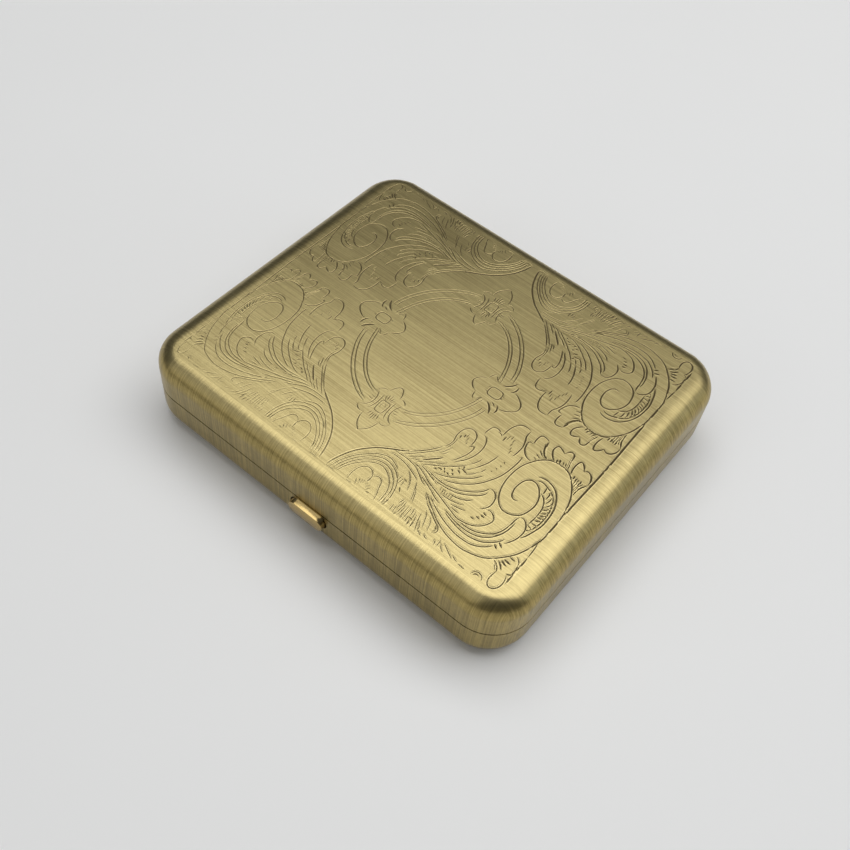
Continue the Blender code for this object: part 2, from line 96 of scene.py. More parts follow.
class CaseSizes(bpy.types.PropertyGroup):
    """Sizes of the stampings and of the engraving."""

    corner_radius: bpy.props.FloatProperty(
        name="Corner radius", description="Round corner of the case seen from above",
        default=0.0095, min=0.004, max=0.015, unit="LENGTH", precision=5)
    flat_corner_radius: bpy.props.FloatProperty(
        name="Flat's corner radius", description="Round corner of the flat inside the rolled edge",
        default=0.0035, min=0.001, max=0.008, unit="LENGTH", precision=5)
    roll_end: bpy.props.FloatProperty(
        name="Roll at the ends", description="How far the roll reaches in from a short side",
        default=0.005, min=0.002, max=0.008, unit="LENGTH", precision=5)
    roll_side: bpy.props.FloatProperty(
        name="Roll at the sides", description="How far the roll reaches in from a long side",
        default=0.004, min=0.002, max=0.008, unit="LENGTH", precision=5)
    roll_drop: bpy.props.FloatProperty(
        name="Roll's drop", description="Height of the rolled edge",
        default=0.0045, min=0.002, max=0.008, unit="LENGTH", precision=5)
    wall: bpy.props.FloatProperty(
        name="Wall", description="Thickness of the stamped sheet",
        default=0.0008, min=0.0004, max=0.0015, unit="LENGTH", precision=5)
    line_width: bpy.props.FloatProperty(
        name="Engraved line", description="Width of the engraving's middle line weight",
        default=0.00036, min=0.0001, max=0.0006, unit="LENGTH", precision=5)
    line_depth: bpy.props.FloatProperty(
        name="Engraved depth", description="Depth of the engraving's middle line weight",
        default=0.00005, min=0.00002, max=0.0003, unit="LENGTH", precision=5)
    lip: bpy.props.FloatProperty(
        name="Lip", description="Height of the lip that the graver raised on both sides of a line",
        default=0.000025, min=0.000001, max=0.0001, unit="LENGTH", precision=6)


class CaseColours(bpy.types.PropertyGroup):
    """Colours of the metals and the studio."""

    outer_brass: bpy.props.FloatVectorProperty(
        name="Outer brass", description="Aged brass on the outside of the case",
        default=(0.512, 0.424, 0.2), min=0, max=1, subtype="COLOR")
    outer_dark: bpy.props.FloatVectorProperty(
        name="Patina", description="Darker streaks of the aged brass",
        default=(0.304, 0.244, 0.108), min=0, max=1, subtype="COLOR")
    roll_brass: bpy.props.FloatVectorProperty(
        name="Roll brass", description="Aged brass on the rolled edges and sides",
        default=(0.54, 0.41, 0.145), min=0, max=1, subtype="COLOR")
    # The dark end of the rolls' streaks, and also the painted shade that darkens the sides towards
    # the bottom and the whole base.
    roll_dark: bpy.props.FloatVectorProperty(
        name="Roll dark", description="Tarnish on the rolled edges and sides",
        default=(0.23, 0.175, 0.06), min=0, max=1, subtype="COLOR")
    # Worn brass on the crests of the lips, and partly a painted highlight beside the lines.
    rubbed_and_highlight: bpy.props.FloatVectorProperty(
        name="Rubbed lips", description="Bare brass on the lips beside the engraved lines",
        default=(0.66, 0.55, 0.29), min=0, max=1, subtype="COLOR")
    groove: bpy.props.FloatVectorProperty(
        name="Engraved lines", description="Dark patina left in the engraved lines",
        default=(0.112, 0.0824, 0.036), min=0, max=1, subtype="COLOR")
    inner_brass: bpy.props.FloatVectorProperty(
        name="Inner brass", description="Satin brass of the fittings inside",
        default=(0.528, 0.4, 0.176), min=0, max=1, subtype="COLOR")
    polished_brass: bpy.props.FloatVectorProperty(
        name="Polished brass", description="Bright brass of the bars and the button",
        default=(0.57, 0.42, 0.175), min=0, max=1, subtype="COLOR")
    steel: bpy.props.FloatVectorProperty(
        name="Steel", description="Drawn steel of the pins and rods",
        default=(0.448, 0.448, 0.456), min=0, max=1, subtype="COLOR")
    floor: bpy.props.FloatVectorProperty(
        name="Floor", description="Pale table that the case stands on",
        default=(0.90, 0.90, 0.89), min=0, max=1, subtype="COLOR")


def sizes():
    """The sizes in the scene's panel."""
    return bpy.context.scene.case_sizes


def colours():
    """The colours in the scene's panel."""
    return bpy.context.scene.case_colours


# --- materials


class Value:
    """A number in a material. An operation on it adds one Math node."""

    def __init__(self, finish, socket):
        self.finish = finish
        self.socket = socket

    def work(self, operation, *terms, clamp=False):
        """One Math node on these terms, which are numbers or other values."""
        settings = {"operation": operation, "use_clamp": clamp}
        return self.finish.node("ShaderNodeMath", settings, dict(enumerate(terms)))

    def __add__(self, other):
        return self.work("ADD", self, other)

    __radd__ = __add__

    def __sub__(self, other):
        return self.work("SUBTRACT", self, other)

    def __rsub__(self, other):
        return self.work("SUBTRACT", other, self)

    def __mul__(self, other):
        return self.work("MULTIPLY", self, other)

    __rmul__ = __mul__

    def __truediv__(self, other):
        return self.work("DIVIDE", self, other)

    def __abs__(self):
        return self.work("ABSOLUTE", self)

    def held(self):
        """The value kept between 0 and 1."""
        return self.work("ADD", self, 0.0, clamp=True)


class Finish:
    """One material in the making."""

    def __init__(self, name, roughness=0.4, metallic=1.0):
        self.material = bpy.data.materials.new(name)
        self.material.use_nodes = True
        self.tree = self.material.node_tree
        self.shader = self.tree.nodes["Principled BSDF"]
        self.shader.inputs["Roughness"].default_value = roughness
        self.shader.inputs["Metallic"].default_value = metallic

    def node(self, kind, settings=None, sockets=None, output=0):
        """A node of this kind, its settings first and then the values or links of its sockets."""
        made = self.tree.nodes.new(kind)
        for setting, value in (settings or {}).items():
            setattr(made, setting, value)
        for socket, value in (sockets or {}).items():
            self.feed(made.inputs[socket], value)
        return Value(self, made.outputs[output])

    def feed(self, socket, value):
        """Link a value to a socket, or set the socket to a number or a colour."""
        if isinstance(value, Value):
            self.tree.links.new(value.socket, socket)
        elif isinstance(value, (tuple, list)) or hasattr(value, "r"):
            numbers = tuple(value)
            full = len(socket.default_value)
            socket.default_value = numbers + (1,) if len(numbers) < full else numbers
        else:
            socket.default_value = value

    def give(self, **sockets):
        """Feed the shader's own sockets, spaces in their names written as underscores."""
        for name, value in sockets.items():
            self.feed(self.shader.inputs[name.replace("_", " ")], value)
        return self.material

    def place(self):
        """Object coordinates."""
        return self.node("ShaderNodeTexCoord", output="Object")

    def parts(self, vector):
        """The three numbers of a vector."""
        split = self.node("ShaderNodeSeparateXYZ", sockets={"Vector": vector})
        return [Value(self, output) for output in split.socket.node.outputs]

    def grain(self, place, stretch, detail=2.0, roughness=0.5, shift=(0, 0, 0)):
        """Noise from 0 to 1 whose waves are this many to the metre along X, Y and Z."""
        at = self.node("ShaderNodeMapping", {"vector_type": "POINT"},
                       {"Vector": place, "Scale": stretch, "Location": shift})
        waves = {"Vector": at, "Scale": 1.0, "Detail": detail, "Roughness": roughness}
        return self.node("ShaderNodeTexNoise", {"noise_dimensions": "3D"}, waves, "Fac")

    def mix(self, factor, first, second):
        """A colour between two others."""
        return self.node("ShaderNodeMix", {"data_type": "RGBA"},
                         {"Factor": factor, 6: first, 7: second}, 2)

    def bump(self, height, strength, distance):
        """A normal bent by a height."""
        return self.node("ShaderNodeBump", {},
                         {"Strength": strength, "Distance": distance, "Height": height}, "Normal")


def aged_brass():
    """Brushed aged brass. The brush ran along X on the flats and across the edge on the rolls.

    The colour goes from patina to brass with the brush marks, clouds and specks, and is warmer and
    more tarnished on the rolls. Painted shade darkens the sides towards the bottom, and the whole
    base. Cuts are dark, and the crests of the lips beside them are lighter: brass worn on the
    raised lips, and partly a painted highlight.
    """
    roll_starts, roll_fades = 0.3 * MM, 1.2 * MM
    # Where the painted shade on the sides begins under the top, and over how far it deepens.
    painted_shade_starts, painted_shade_fades = 1.2 * MM, 3 * MM
    brush_turns = 0.6 * MM
    marks, clouds, specks, mean = 2.6, 0.8, 0.5, 0.55
    finish = Finish("aged_brushed_brass", 0.36)
    hue = colours()
    place = finish.place()
    x, y, z = finish.parts(place)
    along_x = finish.grain(place, (34, 3600, 300), 4.0, 0.65)
    fine_x = finish.grain(place, (160, 11000, 300), 2.0, 0.6, (3, 1, 0))
    across = finish.grain(place, (3600, 50, 50), 4.0, 0.65, (7, 2, 0))
    flat_half = half_width - sizes().roll_side
    on_side = ((abs(y - case_y) - flat_half) / brush_turns).held()
    brush = along_x * (1 - on_side) + across * on_side
    fine = fine_x * (1 - on_side) + across * on_side
    cloud = finish.grain(place, (28, 34, 40), 3.0, 0.55, (2, 5, 1))
    speck = finish.grain(place, (900, 1100, 900), 2.0, 0.7, (4, 4, 4))
    tone = ((brush - 0.5) * marks + (cloud - 0.5) * clouds + (speck - 0.5) * specks + mean).held()
    colour = finish.mix(tone, hue.outer_dark, hue.outer_brass)
    rolled = ((case_top - roll_starts - z) / roll_fades).held()
    # Painted shade: the sides grow darker from 1.2 mm to 4.2 mm under the top, and the base,
    # wholly below that, is darker all over.
    low = ((case_top - painted_shade_starts - z) / painted_shade_fades).held()
    roll_colour = finish.mix(tone - low * 0.3, hue.roll_dark, hue.roll_brass)
    colour = finish.mix(rolled * 0.8, colour, roll_colour)
    cut = finish.node("ShaderNodeAttribute", {"attribute_name": "engraving"}, output="Fac")
    # Lighter crests: worn brass on the raised lips, and partly a painted highlight.
    bare_and_highlight = (cut * -1).held()
    dark = ((cut - 0.1) * 1.5).held()
    colour = finish.mix(bare_and_highlight * 0.8, colour, hue.rubbed_and_highlight)
    colour = finish.mix(dark, colour, hue.groove)
    rough = 0.24 + brush * 0.10 + cloud * 0.08 + dark * 0.22
    height = brush * 0.7 + fine * 0.3
    return finish.give(
        Base_Color=colour, Roughness=rough.held(), Metallic=(1 - dark * 0.35).held(),
        Normal=finish.bump(height, 0.32, 0.00004))


def brushed(name, colour, stretch, roughness, spread, depth):
    """A plain metal whose brush marks lie along the axis with the smallest stretch."""
    finish = Finish(name, roughness)
    place = finish.place()
    lines = finish.grain(place, stretch, 3.0, 0.6)
    cloud = finish.grain(place, (120, 130, 140), 3.0, 0.6, (1, 2, 3))
    tone = ((lines - 0.5) * 1.2 + (cloud - 0.5) * 0.9 + 0.65).held()
    mixed = finish.mix(tone, [DULLED * c for c in colour], colour)
    rough = roughness - spread / 2 + lines * spread + (cloud - 0.5) * spread
    return finish.give(
        Base_Color=mixed, Roughness=rough.held(), Normal=finish.bump(lines, 0.25, depth))


def pale_table():
    """A matt pale table top."""
    finish = Finish("pale_table", 0.55, 0.0)
    cloud = finish.grain(finish.place(), (9, 9, 9), 3.0, 0.5)
    colour = tuple(colours().floor)
    tint = finish.mix(cloud, tuple(0.97 * c for c in colour), colour)
    return finish.give(Base_Color=tint, Roughness=(0.50 + cloud * 0.1).held())


# How much darker a metal is between its brush marks, and spring wire than other steel.
DULLED = 0.72

# Each plain metal: its name, its colour and how light it is, its brush marks to the metre along
# X, Y and Z, its roughness, how far that varies, and the depth of the marks in metres.
PLAIN_METALS = {
    "inner": ("satin_brass", "inner_brass", 1, (80, 3000, 3000), 0.32, 0.12, 0.00002),
    "polished": ("polished_brass", "polished_brass", 1, (2600, 90, 900), 0.22, 0.10, 0.00001),
    "steel": ("drawn_steel", "steel", 1, (60, 2500, 2500), 0.28, 0.10, 0.00001),
    "spring": ("spring_wire", "steel", DULLED, (900, 900, 900), 0.32, 0.14, 0.00001),
}
metals = {}


def metal(name):
    """Each metal, made once."""
    if name not in metals and name == "aged":
        metals[name] = aged_brass()
    elif name not in metals:
        label, colour, light, *marks = PLAIN_METALS[name]
        metals[name] = brushed(label, [light * c for c in getattr(colours(), colour)], *marks)
    return metals[name]


# --- the drawing on the lid


# Each sheet's corner, in millimetres right of and in front of the middle, and its unit there.
SHEETS = {
    "bud": ((-0.28, -1.40), (0.01402, 0.01402)),
    "tips": ((20.31, -1.40), (0.01469, 0.01469)),
    "fan": ((-0.28, 16.54), (0.01402, 0.01402)),
    "scroll": ((20.31, 16.54), (0.01469, 0.01485)),
    "leaf": ((11.24, 17.24), (0.00918, 0.00918)),
    "rose": ((14.80, 0.0), (0.00801, 0.00801)),
    "lily": ((0.0, 17.70), (0.00868, 0.00868)),
}
FLORETS = ("rose", "lily")
# How far the scrolls lean to the left for each millimetre to the front, and how much less for each
# millimetre to the right.
LEAN, LEAN_LESS = 0.024, 0.00024
# The quarter that is drawn is the one to the right and the front. These turn it to all four.
QUARTERS = ((1, -1), (1, 1), (-1, -1), (-1, 1))
# Where mirrored lines lie, and where the hand-drawn original has them.
MIRRORED_X = (-43, -36, -28, -12, 0, 12, 28, 43)
DRAWN_X = (-42.4, -37.1, -29.4, -13.2, -0.8, 11.1, 27.2, 42.35)
MIRRORED_Y = (-36, -28, -12, 0, 12, 28, 36)
DRAWN_Y = (-35.95, -27.8, -11.7, 0.5, 13.0, 28.5, 36.05)
# How much deeper and wider the cuts are at these places, and how much of its height a lip has. The
# greatest LIFTED_X times the greatest LIFTED_Y stays at or under 1.
PLACES_X, PLACES_Y = (-43, -12, 12, 43), (-36, -20, 0, 36)
PRESSED_X, PRESSED_Y = (1.25, 1.1, 1.2, 2.1), (0.42, 0.7, 1.0, 1.05)
LIFTED_X, LIFTED_Y = (0.3, 0.4, 0.9, 1.1), (0.9, 0.8, 0.6, 0.3)
WIDENED_X = (0.95, 1.0, 1.0, 1.3)
# The lines along a cut, in half widths from its middle: a lip's foot and crest, the bottom, and
# the other lip's crest and foot.
ACROSS = (1.55, 1, 0, -1, -1.55)
# Steps along a cut: in each span of its curve, the longest in widths, and the fewest.
SPAN_STEPS, LONGEST_STEP, FEWEST_STEPS = 24, 1.2, 5
# A cut tapers over this many widths, or over one part in this many of its length.
TAPER_WIDTHS, TAPER_PART = 3, 2.5
# In millimetres: how near an axis an end lies on it, how near two points are one, and the least
# depth of a cut.
ON_AXIS, CLOSEST, LEAST_CUT = 0.02, 0.002, 1e-6
# Cuts shorter than this many millimetres are hatches, which are this much longer and narrower.
HATCH_LENGTH, HATCH_STRETCH, HATCH_WIDTH = 1.4, 1.3, 0.64
FINE, THIN, LINE, DEEP, BOLD = 0.85, 0.9, 1.0, 1.2, 1.45

# One quarter of the drawing by sheets. A stroke is its weight and then how far each of its points
# lies to the right and to the front, in the sheet's units.
DRAWING = {}
DRAWING["bud"] = [
    (THIN, 958, 300, 955, 400, 930, 490, 900, 590, 850, 700, 790, 810, 700, 930, 600, 1040,
     490, 1125, 380, 1185, 250, 1225),
    (THIN, 1018, 320, 1000, 400, 972, 500, 940, 600, 893, 715, 825, 840, 742, 955, 650, 1055,
     540, 1145, 420, 1212, 290, 1262),
    (THIN, 1105, 400, 1098, 500, 1072, 610, 1035, 710, 980, 820, 900, 950, 800, 1080, 700, 1190,
     590, 1279, 500, 1339, 400, 1399, 310, 1436),
    (THIN, 1165, 400, 1150, 500, 1122, 620, 1078, 740, 1010, 870, 930, 1000, 830, 1130, 740, 1225,
     620, 1325, 500, 1399, 400, 1444, 300, 1479),
    (LINE, 1398, 1085, 1397, 1010, 1385, 930, 1360, 870, 1310, 830, 1255, 818, 1200, 840,
     1155, 900, 1140, 980, 1142, 1050, 1160, 1110, 1174, 1170, 1172, 1215, 1158, 1265, 1134, 1320),
    (LINE, 1392, 1105, 1412, 1065, 1445, 1045, 1462, 1080, 1462, 1150, 1447, 1230, 1415, 1320,
     1378, 1405, 1349, 1444),
    (THIN, 1183, 1065, 1198, 1155, 1190, 1255, 1164, 1350),
    (BOLD, 1193, 1008, 1207, 1058),
    (BOLD, 1233, 955, 1245, 1008),
    (FINE, 1269, 915, 1271, 985),
    (FINE, 1303, 968, 1306, 1055),
    (FINE, 1331, 1045, 1335, 1088),
    (LINE, 1625, 605, 1568, 590, 1520, 572, 1470, 575, 1430, 605, 1415, 660, 1408, 720, 1415, 785),
    (LINE, 1415, 785, 1450, 795, 1490, 820, 1530, 890, 1550, 970, 1555, 1050, 1545, 1150,
     1520, 1230, 1484, 1310, 1444, 1365, 1398, 1441),
]
DRAWING["tips"] = [
    (LINE, 60, 585, 110, 582, 150, 612),
    (LINE, 145, 610, 140, 500, 155, 400, 190, 320, 240, 275, 300, 262, 387, 271),
    (LINE, 387, 271, 380, 320, 385, 390, 420, 460, 450, 560, 455, 660, 445, 760, 428, 790),
    (BOLD, 193, 575, 197, 655),
    (FINE, 230, 530, 226, 610),
    (FINE, 270, 500, 268, 572),
    (FINE, 310, 540, 312, 600),
    (FINE, 325, 610, 320, 665),
    (FINE, 352, 670, 354, 715),
    (FINE, 382, 715, 376, 775),
    (THIN, 180, 1055, 170, 1130, 140, 1200, 103, 1275),
    (LINE, 305, 870, 295, 960, 270, 1080, 230, 1180, 188, 1272),
    (THIN, 315, 1165, 302, 1215, 283, 1272),
    (LINE, 520, 702, 548, 706, 557, 780, 555, 880, 545, 980, 530, 1080, 500, 1180, 460, 1269,
     400, 1380, 320, 1480, 210, 1575, 110, 1632, 0, 1676),
    (FINE, 418, 920, 442, 938),
    (FINE, 415, 998, 440, 1012),
    (FINE, 396, 1068, 424, 1080),
    (FINE, 374, 1150, 402, 1152),
    (LINE, 682, 672, 620, 665, 560, 640, 500, 580, 468, 500, 460, 440, 490, 423, 532, 434),
    (LINE, 532, 434, 515, 340, 520, 270, 545, 233, 600, 230, 667, 252),
    (BOLD, 662, 250, 675, 340, 710, 420, 760, 480, 825, 502),
    (THIN, 652, 300, 668, 370, 705, 440, 778, 508),
    (FINE, 645, 440, 720, 495, 778, 518),
    (FINE, 635, 522, 700, 545, 757, 562),
    (FINE, 655, 590, 712, 614),
    (LINE, 905, 468, 850, 430, 800, 370, 778, 310, 785, 250, 815, 222, 870, 240, 932, 279),
    (LINE, 929, 279, 945, 235, 985, 188, 1030, 195, 1052, 230, 1062, 300, 1085, 390, 1108, 467),
    (THIN, 1036, 250, 1053, 340, 1080, 455),
    (BOLD, 914, 415, 935, 463),
    (BOLD, 945, 392, 971, 452),
    (FINE, 1000, 388, 1024, 450),
    (FINE, 1036, 385, 1060, 452),
    (LINE, 1183, 494, 1155, 420, 1145, 340, 1155, 260, 1180, 226, 1220, 245, 1255, 285, 1285, 345),
    (LINE, 1281, 345, 1300, 315, 1340, 300, 1385, 320, 1420, 365, 1440, 420, 1444, 484),
    (LINE, 1444, 480, 1420, 525, 1390, 590, 1380, 660, 1383, 750),
    (BOLD, 1236, 475, 1249, 555),
    (BOLD, 1274, 470, 1289, 600),
    (BOLD, 1310, 475, 1319, 632),
    (BOLD, 1346, 470, 1344, 672),
    (THIN, 1392, 498, 1363, 580, 1361, 712),
    (DEEP, 1478, 30, 1478, 300, 1476, 600, 1475, 900, 1477, 1100, 1480, 1270, 1482, 1400,
     1490, 1600),
    (LINE, 1480, 1200, 1470, 1110, 1452, 1000, 1420, 870, 1380, 760, 1320, 660, 1260, 580,
     1190, 510, 1110, 470, 1000, 457, 900, 470, 830, 500, 770, 550, 720, 610, 680, 680, 648, 745,
     620, 830, 606, 920, 602, 1010, 606, 1110, 620, 1200, 640, 1280, 670, 1350, 710, 1420,
     770, 1481, 840, 1521, 900, 1524, 960, 1511, 1020, 1476, 1065, 1431, 1095, 1361, 1112, 1281,
     1118, 1200, 1105, 1120, 1080, 1050, 1040, 985, 980, 925, 920, 900, 860, 905, 810, 945,
     780, 1010, 768, 1090, 768, 1160, 785, 1221, 805, 1265, 840, 1291, 885, 1299, 925, 1281),
    (LINE, 885, 815, 930, 785, 1010, 770, 1090, 785, 1170, 820, 1240, 890, 1290, 970, 1330, 1070,
     1350, 1170, 1358, 1269, 1362, 1340, 1350, 1441, 1320, 1561, 1290, 1651, 1250, 1720),
    (LINE, 905, 865, 960, 840, 1020, 838, 1090, 860, 1160, 890, 1220, 940, 1265, 1010, 1295, 1090,
     1315, 1180, 1322, 1269, 1322, 1340, 1308, 1450, 1275, 1560),
    (LINE, 1050, 985, 1100, 1000, 1150, 1040, 1190, 1100, 1215, 1180, 1226, 1269, 1228, 1340,
     1220, 1430, 1222, 1495),
    (LINE, 1065, 858, 1082, 915, 1095, 995),
    (LINE, 1140, 880, 1162, 940, 1163, 1045),
    (LINE, 1205, 925, 1216, 1000, 1197, 1098),
    (LINE, 1252, 990, 1262, 1050, 1217, 1145),
    (LINE, 1288, 1068, 1275, 1130, 1225, 1198),
    (LINE, 1308, 1145, 1285, 1205, 1230, 1245),
    (LINE, 1320, 1220, 1285, 1262, 1232, 1277),
    (LINE, 1323, 1282, 1290, 1306, 1232, 1320),
    (LINE, 1321, 1336, 1290, 1360, 1232, 1376),
    (LINE, 1316, 1424, 1270, 1434, 1224, 1430),
    (LINE, 1298, 1505, 1262, 1502, 1224, 1486),
    (LINE, 1281, 1553, 1252, 1566),
]
DRAWING["leaf"] = [
    (LINE, -25, 612, 30, 568, 70, 530, 110, 482, 150, 440, 190, 400, 222, 358, 270, 300, 312, 248,
     352, 188, 400, 112, 432, 58, 470, -30),
    (LINE, 523, 30, 480, 105, 440, 165, 400, 225, 350, 285, 300, 345, 250, 410, 190, 480, 120, 560,
     60, 620, 0, 680, -30, 705),
    (THIN, 632, -140, 622, -70, 592, 0, 570, 60, 540, 130, 502, 188),
    (THIN, 650, -10, 632, 60, 600, 120, 552, 178),
    (LINE, 390, 418, 330, 480, 270, 542, 200, 610, 150, 650, 84, 690),
    (BOLD, 664, 192, 620, 262, 580, 312, 540, 360, 490, 410, 440, 470, 390, 520, 340, 565),
    (LINE, 345, 560, 280, 622, 220, 665, 160, 710),
    (THIN, 830, 262, 760, 312, 700, 368, 640, 420, 560, 462, 500, 515, 440, 568, 380, 612,
     320, 650, 255, 700),
    (LINE, 1153, -10, 1125, 48, 1090, 92, 1040, 150, 960, 235, 880, 300, 830, 352, 760, 408,
     700, 450, 630, 502, 560, 550, 500, 600, 435, 648),
    (THIN, 1294, -8, 1270, 36, 1230, 90, 1190, 148),
    (THIN, 1438, -10, 1410, 36, 1388, 82, 1348, 138, 1285, 206, 1240, 262),
    (LINE, 1562, 5, 1500, 102, 1450, 180, 1380, 260, 1300, 322, 1230, 388, 1150, 442, 1070, 498,
     980, 550, 900, 586, 800, 620, 732, 640),
    (LINE, 405, 664, 500, 680, 600, 702, 700, 730, 800, 775, 900, 802, 1015, 830),
    (BOLD, 1118, 80, 1127, 110, 1146, 150),
    (BOLD, 1128, 186, 1180, 190, 1262, 212),
    (BOLD, 1072, 268, 1110, 272, 1156, 298),
    (BOLD, 972, 322, 1018, 358),
    (BOLD, 1036, 396, 1082, 428),
    (BOLD, 945, 455, 1004, 482),
    (LINE, 880, 455, 918, 500),
    (LINE, 1052, 190, 1090, 222),
    (LINE, 830, 398, 870, 440),
    (BOLD, 745, 498, 780, 480, 826, 484),
    (BOLD, 684, 566, 712, 545, 742, 546),
]
DRAWING["fan"] = [
    (BOLD, 150, 1336, 170, 1220, 200, 1110, 245, 990, 310, 872, 400, 755, 500, 655, 600, 582,
     690, 522, 780, 466, 856, 408),
    (LINE, 690, 547, 800, 538, 900, 535, 990, 545, 1080, 565, 1180, 620, 1280, 680, 1372, 719),
    (LINE, 648, 608, 760, 600, 870, 603, 970, 620, 1080, 655, 1170, 690, 1240, 727),
    (LINE, 215, 1334, 235, 1200, 280, 1080, 340, 970, 420, 872, 520, 772, 600, 717, 680, 687,
     740, 682, 800, 697, 870, 727, 930, 764),
    (LINE, 255, 1334, 275, 1210, 320, 1090, 390, 970, 480, 862, 570, 792, 660, 752, 730, 742,
     800, 750, 880, 777, 950, 816, 1020, 880, 1080, 970, 1120, 1080, 1145, 1200, 1148, 1334),
    (LINE, 290, 1334, 320, 1200, 380, 1060, 460, 952, 550, 872, 640, 822, 730, 805, 800, 810,
     880, 837, 960, 896, 1020, 960, 1070, 1050, 1098, 1160, 1110, 1334),
    (LINE, 325, 1334, 350, 1220, 400, 1110, 470, 1012, 550, 932, 640, 877, 720, 856, 800, 867,
     880, 907, 960, 971, 1010, 1040, 1050, 1130, 1066, 1230, 1075, 1330),
    (BOLD, 1066, 1180, 1070, 1260, 1073, 1332),
    (BOLD, 1103, 1180, 1108, 1260, 1110, 1336),
    (BOLD, 1143, 1180, 1147, 1260, 1148, 1336),
    (LINE, 518, 1330, 500, 1220, 505, 1120, 535, 1050, 590, 1000, 640, 990, 690, 1006, 728, 1050,
     750, 1100, 748, 1208),
    (BOLD, 750, 1090, 749, 1150, 747, 1212),
    (LINE, 753, 1098, 775, 1042, 830, 1018, 880, 1040, 910, 1090, 945, 1180, 980, 1250,
     1003, 1330),
    (BOLD, 983, 1262, 995, 1295, 1004, 1334),
    (THIN, 615, 1248, 638, 1280, 652, 1320),
    (THIN, 650, 1215, 668, 1245, 680, 1288),
    (FINE, 688, 1195, 703, 1258),
    (FINE, 716, 1182, 724, 1232),
    (FINE, 780, 1190, 772, 1230),
    (THIN, 820, 1198, 814, 1225, 797, 1262),
    (FINE, 856, 1238, 838, 1270, 826, 1294),
    (FINE, 890, 1304, 848, 1314),
    (FINE, 150, 1341, 320, 1341),
    (FINE, 520, 1340, 620, 1340),
    (FINE, 1040, 672, 1120, 735, 1190, 830, 1240, 940),
    (FINE, 1240, 740, 1290, 830, 1340, 940, 1378, 1050),
    (LINE, 1046, 790, 1036, 830, 1032, 905),
    (LINE, 1075, 815, 1073, 870, 1070, 938),
    (LINE, 1095, 818, 1142, 836),
    (LINE, 1110, 842, 1128, 928),
    (FINE, 1135, 960, 1180, 1020),
    (FINE, 1300, 820, 1360, 930, 1410, 1040),
    (FINE, 1440, 790, 1510, 860, 1568, 900),
    (FINE, 1520, 780, 1590, 840, 1660, 880),
    (THIN, 1302, 1052, 1290, 1110, 1284, 1170),
    (THIN, 1345, 1052, 1358, 1150, 1353, 1330),
    (LINE, 1250, 1205, 1255, 1275, 1270, 1334),
    (THIN, 1310, 1142, 1320, 1252),
    (THIN, 1412, 1085, 1422, 1200, 1427, 1330),
    (THIN, 1455, 1072, 1467, 1200, 1476, 1332),
    (THIN, 1495, 1058, 1510, 1150, 1528, 1215),
    (LINE, 1500, 1212, 1515, 1275, 1521, 1334),
    (FINE, 1380, 1110, 1388, 1220, 1390, 1330),
    (FINE, 1288, 1200, 1300, 1270, 1318, 1332),
    (FINE, 1330, 1050, 1322, 1110, 1332, 1180),
    (LINE, 1340, 1270, 1346, 1335),
    (LINE, 1440, 1250, 1448, 1335),
]
